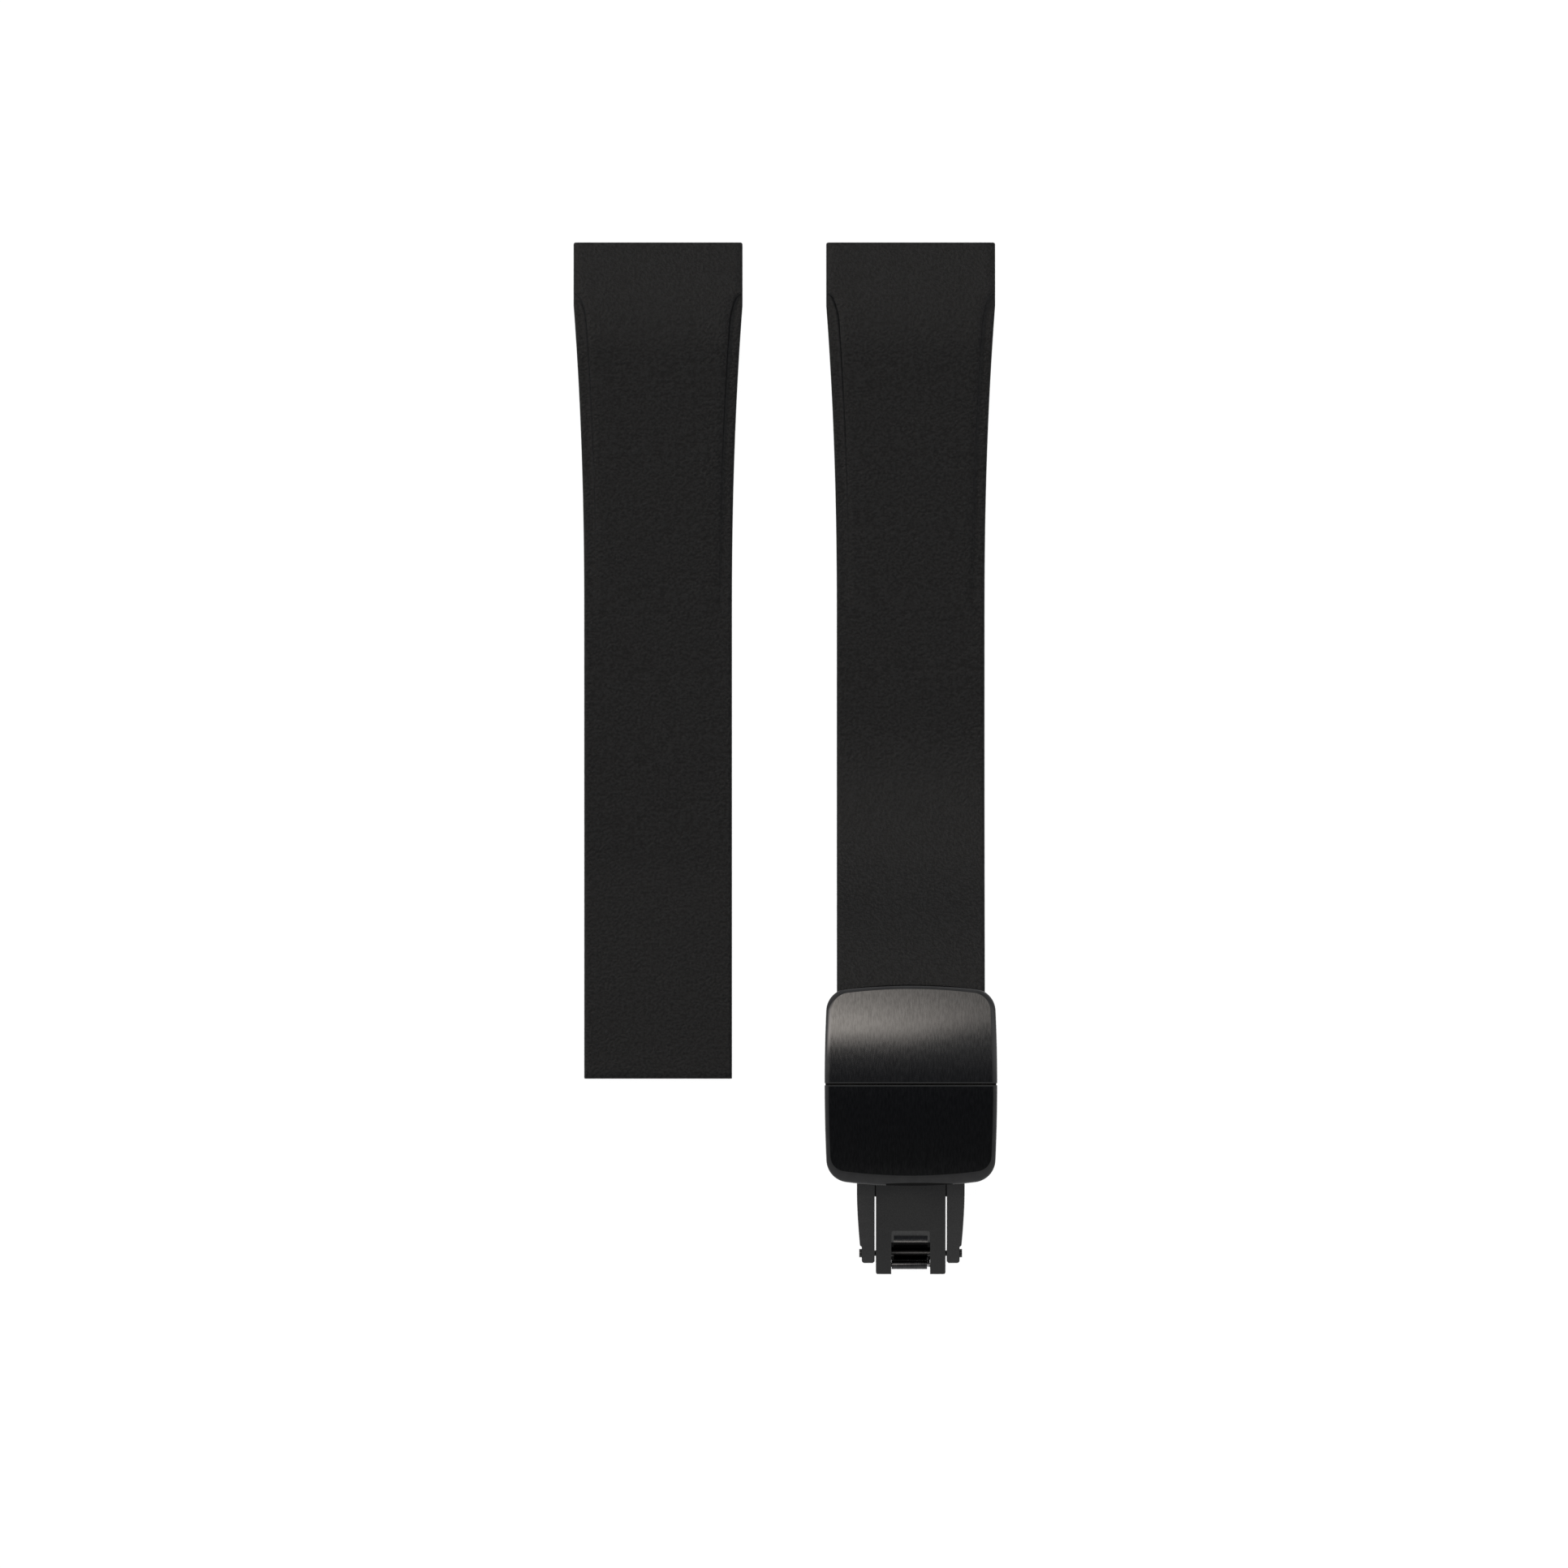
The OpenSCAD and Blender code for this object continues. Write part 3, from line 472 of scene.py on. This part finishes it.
def cover_rows(length, rounds):
    """Rows of points over a cover's top, from the foot of its rounded edge inwards to the split line."""
    (side_w, side_h), (front_w, front_h) = rounds
    rows = []
    for step in range(EDGE_STEPS + 1):
        turn = ROUND_TURN * step / EDGE_STEPS
        inset = (1 - math.cos(turn)) / (1 - math.cos(ROUND_TURN))
        fall = 1 - math.sin(turn) / math.sin(ROUND_TURN)
        row = []
        for i, (x, y) in enumerate(half_outline(length, side_w * inset, front_w * inset)):
            share = min(1, max(0, (i - SIDE_STEPS) / CORNER_STEPS))
            share = share * share * (3 - 2 * share)
            row.append((x, y, roof(x, y) - (side_h + (front_h - side_h) * share) * fall))
        rows.append(row)
    inner = rows[-1]
    start_y = SPLIT_HALF + SPLIT_BEVEL[0]
    for step in range(1, ROOF_STEPS + 1):
        share = step / ROOF_STEPS
        row = []
        for i, (x, y, _) in enumerate(inner):
            spine_x = SPINE_HALF * (1 - i / (len(inner) - 1))
            y += (start_y - y) * share
            x += (spine_x - x) * share
            row.append((x, y, roof(x, y)))
        rows.append(row)
    return [row + [(-x, y, z) for x, y, z in reversed(row[:-1])] for row in rows]


def cover_form(name, length, rounds, way):
    """A cover's closed outer form: brushed roof, polished rounded edges and walls, flat underside."""
    rows = cover_rows(length, rounds)
    points, faces, finish = [], [], []

    def add(x, y, z):
        points.append((clasp_x + x, split_y + way * y, z))
        return len(points) - 1

    def strip(a, b, kind):
        for i in range(len(a) - 1):
            faces.append((a[i], a[i + 1], b[i + 1], b[i]))
            finish.append(kind)

    top = [[add(*point) for point in row] for row in rows]
    under = [[add(x, y, arch(PLATE_TOP, y)) for x, y, z in row] for row in rows]
    for i in range(len(rows) - 1):
        strip(top[i], top[i + 1], BRUSHED if i >= EDGE_STEPS else POLISHED)
    for i in range(len(rows) - 1):
        strip(under[i], under[i + 1], POLISHED)

    def split_line(grid):
        right = [row[0] for row in grid[:-1]]
        left = [row[-1] for row in reversed(grid[:-1])]
        return right + grid[-1] + left

    edge = split_line(rows)
    top_edge = [add(x, SPLIT_HALF, z - SPLIT_BEVEL[1]) for x, y, z in edge]
    under_edge = [add(x, SPLIT_HALF, arch(PLATE_TOP, SPLIT_HALF)) for x, y, z in edge]
    strip(split_line(top), top_edge, POLISHED)
    strip(top_edge, under_edge, POLISHED)
    strip(under_edge, split_line(under), POLISHED)
    top_rim = [top_edge[0]] + top[0] + [top_edge[-1]]
    under_rim = [under_edge[0]] + under[0] + [under_edge[-1]]
    strip(top_rim, under_rim, POLISHED)
    return closed_mesh(name, points, faces, finish)


def closed_mesh(name, points, faces, finish):
    """A mesh object of a closed form, its faces turned outwards, with a finish number for each face."""
    mesh = bpy.data.meshes.new(name)
    mesh.from_pydata(points, [], faces)
    mesh.polygons.foreach_set("material_index", finish)
    form = bmesh.new()
    form.from_mesh(mesh)
    bmesh.ops.recalc_face_normals(form, faces=form.faces)
    form.to_mesh(mesh)
    form.free()
    obj = bpy.data.objects.new(name, mesh)
    bpy.context.scene.collection.objects.link(obj)
    return obj


def arc_block(name, r_in, r_out, half_x, y0, y1, way):
    """A curved plate between two radii of the clasp's curve, from y0 to y1 from the split line."""
    points, faces = [], []
    for i in range(BLOCK_STEPS + 1):
        y = y0 + (y1 - y0) * i / BLOCK_STEPS
        for x, radius in ((-half_x, r_in), (half_x, r_in), (half_x, r_out), (-half_x, r_out)):
            points.append((clasp_x + x, split_y + way * y, arch(radius, y)))
    for i in range(BLOCK_STEPS):
        for k in range(4):
            n = (k + 1) % 4
            faces.append((4 * i + k, 4 * i + n, 4 * i + 4 + n, 4 * i + 4 + k))
    faces += [(0, 1, 2, 3), tuple(4 * BLOCK_STEPS + k for k in range(4))]
    return closed_mesh(name, points, faces, [0] * len(faces))


def nail_bite(name, length, way):
    """The nail notch: a wide shallow bite out of the front edge, from above down to the pocket."""
    outline = []
    for share in [0] + shares(NAIL_STEPS):
        x = NAIL_W * (share - 0.5)
        outline.append((NAIL_X + x, length - NAIL_DEPTH + NAIL_R - math.sqrt(NAIL_R ** 2 - x ** 2)))
    for x in (NAIL_W / 2, -NAIL_W / 2):
        outline.append((NAIL_X + x, length + PAST))
    count = len(outline)
    levels = (arch(STRAP_IN + TAIL_H / 2, length), arch(ROOF_OUT, 0) + PAST)
    points = [(clasp_x + x, split_y + way * y, z) for z in levels for x, y in outline]
    faces = [(i, (i + 1) % count, count + (i + 1) % count, count + i) for i in range(count)]
    faces += [tuple(range(count)), tuple(count + i for i in range(count))]
    return closed_mesh(name, points, faces, [0] * len(faces))


def split_strips(name, way, lower):
    """The two stepped strips that close a cover at the split, the lower cover's ledge under the upper's."""
    ledge_top = PLATE_TOP + LEDGE_T + (0 if lower else LEDGE_GAP)
    half_x = COVER_HALF - STRIP_INSET
    strips = ((PLATE_TOP, ledge_top, -LEDGE_REACH if lower else LEDGE_REACH + WALL_GAP),
              (ledge_top, ROOF_OUT - SPLIT_DEPTH, WALL_GAP if lower else 0))
    blocks = []
    for r_in, r_out, y0 in strips:
        blocks.append(arc_block(name + "_strip", r_in, r_out, half_x, y0, STRAP_START, way))
    return blocks


def screw_bores(name, way):
    """Cutters for the strap screw's thread and head, from the cover's right side."""
    level = STRAP_IN + TAIL_H / 2
    screw_y = (STRAP_START + BORE_S) * level / STRAP_IN
    end_x = COVER_HALF + PAST
    bores = []
    for start_x, radius in ((-COVER_HALF + SCREW_INSET, SCREW_R),
                            (COVER_HALF - SCREW_INSET - SCREW_HEAD_T, SCREW_HEAD_BORE_R)):
        middle = clasp_x + (start_x + end_x) / 2
        rod = (middle, split_y + way * screw_y, arch(level, screw_y), (end_x - start_x) / 2, radius)
        bores.append(rod_mesh([rod], name + "_bore"))
    return bores


def cover(name, length, rounds, way, lower, materials):
    """A cover: its outer form with the strips at the split, the strap's pocket and the screw's bore."""
    brushed, polished, inner = materials
    obj = cover_form(name, length, rounds, way)
    obj.data.materials.append(brushed)
    obj.data.materials.append(polished)
    # The split strips and the cut faces get the inner material, whose dark colour is painted shade
    for strip in split_strips(name, way, lower):
        strip.data.materials.append(inner)
        combine(obj, strip, "UNION")

    floor = PLATE_TOP + FLOOR_T
    pocket = arc_block(name + "_pocket", floor, ROOF_IN, POCKET_HALF, STRAP_START, length + PAST, way)
    cutters = [pocket] + screw_bores(name, way)
    if lower:
        cutters.append(nail_bite(name + "_nail", length, way))
    for cutter in cutters:
        cutter.data.materials.append(inner)
        combine(obj, cutter, "DIFFERENCE")
    smooth(obj, COVER_SHARP)
    return obj


class Nodes:
    """A node tree with short ways to add and link its nodes."""

    def __init__(self, tree):
        self.tree = tree
        self.coordinates = self.add("ShaderNodeTexCoord").outputs

    def add(self, kind, **values):
        node = self.tree.nodes.new(kind)
        for key, value in values.items():
            setattr(node, key, value)
        return node

    def link(self, source, target):
        self.tree.links.new(source, target)

    def math(self, operation, a, b=None, c=None):
        """Result of a math node on numbers or other nodes' outputs."""
        node = self.add("ShaderNodeMath", operation=operation)
        for socket, value in zip(node.inputs, (a, b, c)):
            if isinstance(value, (int, float)):
                socket.default_value = value
            elif value:
                self.link(value, socket)
        return node.outputs[0]

    def span(self, source, low, high, start=0.3, end=0.7):
        """Maps source from start..end to low..high."""
        span = self.add("ShaderNodeMapRange")
        for key, value in (("From Min", start), ("From Max", end), ("To Min", low), ("To Max", high)):
            span.inputs[key].default_value = value
        self.link(source, span.inputs["Value"])
        return span.outputs["Result"]

    def curve(self, source, stops):
        """Greys or colours at the given values of source, with an even change between them."""
        first, last = stops[0][0], stops[-1][0]
        ramp = self.add("ShaderNodeValToRGB")
        elements = ramp.color_ramp.elements
        elements[0].position, elements[1].position = 0, 1
        for value, _ in stops[1:-1]:
            elements.new((value - first) / (last - first))
        for element, (_, level) in zip(elements, stops):
            colour = level if isinstance(level, tuple) else (level, level, level)
            element.color = (*colour, 1)
        self.link(self.span(source, 0, 1, first, last), ramp.inputs["Fac"])
        return ramp.outputs["Color"]

    def ramp(self, source, low, high, start=0.3, end=0.7):
        """Colours from low to high as source goes from start to end."""
        return self.curve(source, ((start, low), (end, high)))

    def blend(self, kind, a, b):
        """Two colours multiplied or added."""
        mix = self.add("ShaderNodeMix", data_type="RGBA", blend_type=kind)
        mix.inputs["Factor"].default_value = 1
        for socket, value in ((mix.inputs["A"], a), (mix.inputs["B"], b)):
            if isinstance(value, tuple):
                socket.default_value = value
            else:
                self.link(value, socket)
        return mix.outputs["Result"]

    def multiply(self, a, b):
        return self.blend("MULTIPLY", a, b)

    def mix(self, share, a, b):
        """Shader a where share is 0 and b where it is 1."""
        mix = self.add("ShaderNodeMixShader")
        for socket, source in zip(mix.inputs, (share, a, b)):
            self.link(source, socket)
        return mix.outputs[0]


class Shader(Nodes):
    """A material's node tree."""

    def __init__(self, name):
        self.material = bpy.data.materials.new(name)
        self.material.use_nodes = True
        super().__init__(self.material.node_tree)
        self.bsdf = self.tree.nodes["Principled BSDF"]
        self.output = self.tree.nodes["Material Output"]
        self.place = self.coordinates["Object"]

    def set(self, **values):
        for key, value in values.items():
            self.bsdf.inputs[key.replace("_", " ")].default_value = value

    def noise(self, across, along=None, detail=2.0, roughness=0.5):
        """Noise from 0 to 1 with so many features per metre across the strap, and along it if it differs."""
        mapping = self.add("ShaderNodeMapping")
        mapping.inputs["Scale"].default_value = (across, along or across, along or across)
        self.link(self.place, mapping.inputs["Vector"])
        noise = self.add("ShaderNodeTexNoise")
        noise.inputs["Scale"].default_value = 1
        noise.inputs["Detail"].default_value = detail
        noise.inputs["Roughness"].default_value = roughness
        self.link(mapping.outputs["Vector"], noise.inputs["Vector"])
        return noise.outputs["Fac"]

    def bump(self, height, distance):
        bump = self.add("ShaderNodeBump")
        bump.inputs["Distance"].default_value = distance
        self.link(height, bump.inputs["Height"])
        return bump.outputs["Normal"]

    def finish(self, colour, roughness, bump=None, **values):
        """Gives the surface its colour, its roughness, its bump and other values that are even all over."""
        self.link(colour, self.bsdf.inputs["Base Color"])
        self.link(roughness, self.bsdf.inputs["Roughness"])
        if bump:
            self.link(bump, self.bsdf.inputs["Normal"])
        self.set(**values)
        return self.material


def rubber():
    """Matte black rubber: fine moulded grain, sparse paler specks and slow mottling."""
    shader = Shader("rubber")
    grain = shader.noise(3100, detail=3, roughness=0.6)
    specks = shader.noise(5200, detail=1)
    mottle = shader.noise(160)
    colour = shader.ramp(grain, (0.0002, 0.0004, 0.0008), (0.0134, 0.014, 0.015), 0.41, 0.59)
    tint = shader.ramp(mottle, (0.93, 0.93, 0.94), (1, 1, 0.99))
    fleck = shader.ramp(specks, 0.5, 1, 0.6, 0.74)
    colour = shader.multiply(shader.multiply(colour, tint), fleck)
    bump = shader.bump(grain, 0.1 * MM)
    return shader.finish(colour, shader.span(grain, 0.38, 0.48), bump, Specular_IOR_Level=0.22)


def brushed_black(name, level):
    """Black coated steel, brushed along the strap."""
    shader = Shader(name)
    fine = shader.noise(7000, 1200, detail=3, roughness=0.6)
    colour = shader.ramp(fine, 0.82 * level, 1.18 * level, 0.36, 0.64)
    return shader.finish(colour, shader.span(fine, 0.08, 0.14), shader.bump(fine, 0.0015 * MM), Metallic=1)


def polished_black():
    """Polished black coated steel, for rounded edges and walls."""
    shader = Shader("polished_black")
    cloud = shader.noise(900)
    colour = shader.ramp(cloud, (0.048, 0.048, 0.049), (0.056, 0.056, 0.057))
    return shader.finish(colour, shader.span(cloud, 0.1, 0.15), Metallic=1)


def inner_painted_shade():
    """Rough inside of the pockets and bores, its near-black colour painted shade."""
    shader = Shader("inner_painted_shade")
    grain = shader.noise(3000, detail=3)
    # Painted shade: the inside faces are far darker than the covers' steel
    colour = shader.ramp(grain, 0.006, 0.01)
    bump = shader.bump(grain, 0.01 * MM)
    return shader.finish(colour, shader.span(grain, 0.6, 0.75), bump, Specular_IOR_Level=0.2)


def satin_black(name, level):
    """Black coated steel with a fine satin finish."""
    shader = Shader(name)
    grain = shader.noise(9000, 6500, detail=3)
    broad = shader.noise(220)
    colour = shader.ramp(grain, 0.88 * level, 1.12 * level)
    colour = shader.multiply(colour, shader.ramp(broad, (0.92, 0.92, 0.93), (1, 1, 1)))
    return shader.finish(colour, shader.span(grain, 0.37, 0.47), shader.bump(grain, 0.004 * MM), Metallic=1)


def blade_black():
    """The base's black coated steel, with shade painted on top where it lies deep between the plates and the
    links.
    """
    shader = Shader("blade_black")
    grain = shader.noise(6000, 2600, detail=3)
    split = shader.add("ShaderNodeSeparateXYZ")
    shader.link(shader.place, split.inputs["Vector"])
    upward = shader.add("ShaderNodeSeparateXYZ")
    shader.link(shader.coordinates["Normal"], upward.inputs["Vector"])
    x, y, _ = split.outputs
    aside = shader.math("ABSOLUTE", shader.math("SUBTRACT", x, clasp_x))
    along = shader.math("ABSOLUTE", shader.math("SUBTRACT", y, split_y))
    # Painted shade: upward faces beside the middle and beyond the tongues darken to 0.12 of their colour
    beside = shader.math("GREATER_THAN", aside, PAINTED_SHADE_BESIDE)
    beyond = shader.math("GREATER_THAN", along, PAINTED_SHADE_BEYOND)
    faces_up = shader.math("GREATER_THAN", upward.outputs["Z"], PAINTED_SHADE_FACING_UP)
    painted_shade_area = shader.math("MULTIPLY", shader.math("MAXIMUM", beside, beyond), faces_up)
    painted_shade = shader.ramp(painted_shade_area, 1, 0.12, 0, 1)
    colour = shader.multiply(shader.ramp(grain, 0.078, 0.1), painted_shade)
    return shader.finish(colour, shader.span(grain, 0.1, 0.16), shader.bump(grain, 0.003 * MM), Metallic=1)


def polished_dark():
    """Dark polished steel for pins, screws and the catch bars."""
    shader = Shader("polished_dark")
    turning = shader.noise(6000, 900)
    colour = shader.ramp(turning, (0.045, 0.045, 0.047), (0.07, 0.07, 0.072))
    bump = shader.bump(turning, 0.003 * MM)
    return shader.finish(colour, shader.span(turning, 0.18, 0.3), bump, Metallic=1)


def bright_steel():
    """Plain turned steel."""
    shader = Shader("bright_steel")
    turning = shader.noise(7000, 1200)
    colour = shader.ramp(turning, (0.4, 0.4, 0.41), (0.52, 0.52, 0.53))
    bump = shader.bump(turning, 0.003 * MM)
    return shader.finish(colour, shader.span(turning, 0.2, 0.34), bump, Metallic=1)


def dress(node, material, edge=0):
    """Gives a CAD node its material, even shading and, where edge is set, softly rounded edges."""
    obj = nodes[node]
    obj.material_slots[0].material = material
    weld = obj.modifiers.new("weld", "WELD")
    weld.merge_threshold = WELD_REACH
    if edge:
        bevel = obj.modifiers.new("edge", "BEVEL")
        bevel.width = edge
        bevel.segments = BEVEL_SEGMENTS
        bevel.limit_method = "ANGLE"
        bevel.angle_limit = math.radians(BEVELLED)
    split = obj.modifiers.new("split", "EDGE_SPLIT")
    split.split_angle = math.radians(SHARP)
    normals = obj.modifiers.new("normals", "WEIGHTED_NORMAL")
    normals.weight = FACE_WEIGHT
    normals.keep_sharp = True


def make_straps():
    """Both rubber halves, each riding on its body in place of its node."""
    material = rubber()
    for name, body, middle_x, curved in (
            ("tail_strap", "tail_half", tail_x, False), ("clasp_strap", "upper_carrier", clasp_x, True)):
        strap = strap_half(name + "_rubber", middle_x, curved)
        strap.data.materials.clear()
        strap.data.materials.append(material)
        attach(strap, body)
        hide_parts(name)


def make_covers():
    """Both covers, each riding on its carrier in place of its node."""
    polished = polished_black()
    inner = inner_painted_shade()
    # The lower cover gets a darker copy of the brushed steel, which is painted shade
    for side, length, rounds, way, level in (
            ("lower", LOWER_LEN, LOWER_ROUNDS, -1, LOWER_COVER_SHADED_LEVEL),
            ("upper", UPPER_LEN, UPPER_ROUNDS, 1, UPPER_COVER_LEVEL)):
        materials = (brushed_black("brushed_black_" + side, level), polished, inner)
        piece = cover(side + "_cover_shell", length, rounds, way, side == "lower", materials)
        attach(piece, side + "_carrier")
        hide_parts(side + "_cover")


def make_springs(material):
    """The catch bars' springs, each a copy of its node's mesh riding on its carrier; the real springs
    shorten as the right tip is pushed in.
    """
    for side in ("lower_", "upper_"):
        name = side + "bar_spring"
        piece = bpy.data.objects.new(side + "spring_coil", nodes[name].data.copy())
        bpy.context.scene.collection.objects.link(piece)
        piece.data.materials.clear()
        piece.data.materials.append(material)
        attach(piece, side + "carrier")
        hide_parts(name)
        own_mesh(piece)


def dress_clasp():
    """The finish of each other node, all of them the clasp's but for the lug tubes."""
    satin = satin_black("satin_black", PLATE_LEVEL)
    link = satin_black("link_black", LINK_LEVEL)
    blade = blade_black()
    dark = polished_dark()
    bright = bright_steel()
    dress("base_blade", blade)
    for side in ("lower_", "upper_"):
        dress(side + "plate", satin, PLATE_EDGE)
        dress(side + "link_left", link, LINK_EDGE)
        dress(side + "link_right", link, LINK_EDGE)
        dress(side + "base_pin", link, RIVET_EDGE)
        dress(side + "plate_pin", dark, PIN_EDGE)
        dress(side + "cover_screws", dark, PIN_EDGE)
        dress(side + "strap_screw", dark, PIN_EDGE)
        dress(side + "bar_sleeve", dark, BAR_EDGE)
        dress(side + "bar_tip_left", dark)
        dress(side + "bar_tip_right", bright, BAR_EDGE)
    dress("tail_lug_tube", bright, PIN_EDGE)
    dress("clasp_lug_tube", bright, PIN_EDGE)
    make_springs(bright)


def make_camera():
    """A long lens straight above, framed as the photograph."""
    data = bpy.data.cameras.new("camera")
    camera = bpy.data.objects.new("camera", data)
    bpy.context.scene.collection.objects.link(camera)
    middle = PHOTO_SIDE / 2
    x = (middle - OBJECT_X_PX) / PX_PER_MM * MM
    y = (OBJECT_Y_PX - middle) / PX_PER_MM * MM
    camera.location = (x, y, CAMERA_HEIGHT)
    data.sensor_width = SENSOR_MM
    view_width = PHOTO_SIDE / PX_PER_MM * MM
    data.lens = SENSOR_MM * (CAMERA_HEIGHT - FOCUS_HEIGHT) / view_width
    data.clip_start = CLIP_START
    data.clip_end = CLIP_END
    bpy.context.scene.camera = camera


def make_world():
    """A studio, dark above and white at the horizon, with a soft key light and a white backdrop."""
    world = bpy.data.worlds.new("world")
    bpy.context.scene.world = world
    world.use_nodes = True
    sky = Nodes(world.node_tree)
    split = sky.add("ShaderNodeSeparateXYZ")
    sky.link(sky.coordinates["Generated"], split.inputs["Vector"])
    x, y, z = split.outputs
    degree = 180 / math.pi
    height = sky.math("MULTIPLY", sky.math("ARCCOSINE", z), degree)
    across = sky.math("MULTIPLY", sky.math("ARCTAN2", x, z), degree)
    along = sky.math("MULTIPLY", sky.math("ARCTAN2", y, z), degree)
    slanted = sky.math("MULTIPLY_ADD", sky.math("MAXIMUM", across, 0), -KEY_SLANT, along)
    dome = sky.multiply(sky.curve(height, SKY), sky.curve(height, SKY_COLOUR))
    key = sky.multiply(sky.curve(slanted, KEY_ALONG), sky.curve(across, KEY_ACROSS))
    key = sky.multiply(key, tuple(KEY_STRENGTH * part for part in KEY_COLOUR))
    key = sky.blend("ADD", key, sky.curve(along, KEY_TOE))
    background = sky.tree.nodes["Background"]
    sky.link(sky.blend("ADD", dome, key), background.inputs["Color"])
    backdrop = sky.add("ShaderNodeBackground")
    backdrop.inputs["Color"].default_value = (1, 1, 1, 1)
    is_seen = sky.add("ShaderNodeLightPath").outputs["Is Camera Ray"]
    surface = sky.mix(is_seen, background.outputs[0], backdrop.outputs[0])
    sky.link(surface, sky.tree.nodes["World Output"].inputs["Surface"])


def make_floor():
    """A white floor that keeps a faint shadow and lets what an open clasp lowers below it show through."""
    points = [(x * FLOOR_HALF, y * FLOOR_HALF, 0) for x, y in ((-1, -1), (1, -1), (1, 1), (-1, 1))]
    floor = new_mesh("floor", points, [(0, 1, 2, 3)])
    floor.location.z = -FLOOR_DROP
    shader = Shader("floor")
    shader.set(Base_Color=(FLOOR_GREY, FLOOR_GREY, FLOOR_GREY, 1), Roughness=0.9, Specular_IOR_Level=0)
    ray = shader.add("ShaderNodeLightPath").outputs
    seen = shader.math("MAXIMUM", ray["Is Camera Ray"], ray["Is Glossy Ray"])
    seen = shader.math("MAXIMUM", seen, ray["Is Transmission Ray"])
    clear = shader.add("ShaderNodeBsdfTransparent")
    clear.inputs["Color"].default_value = (FLOOR_CLEAR, FLOOR_CLEAR, FLOOR_CLEAR, 1)
    shadow = shader.add("ShaderNodeBsdfDiffuse")
    shadow.inputs["Color"].default_value = (FLOOR_SHADE, FLOOR_SHADE, FLOOR_SHADE, 1)
    white = shader.add("ShaderNodeAddShader")
    shader.link(clear.outputs[0], white.inputs[0])
    shader.link(shadow.outputs[0], white.inputs[1])
    surface = shader.mix(seen, shader.bsdf.outputs[0], white.outputs[0])
    shader.link(surface, shader.output.inputs["Surface"])
    floor.data.materials.append(shader.material)


make_camera()
make_straps()
make_covers()
dress_clasp()
make_world()
make_floor()
bpy.context.scene.view_settings.view_transform = "Standard"
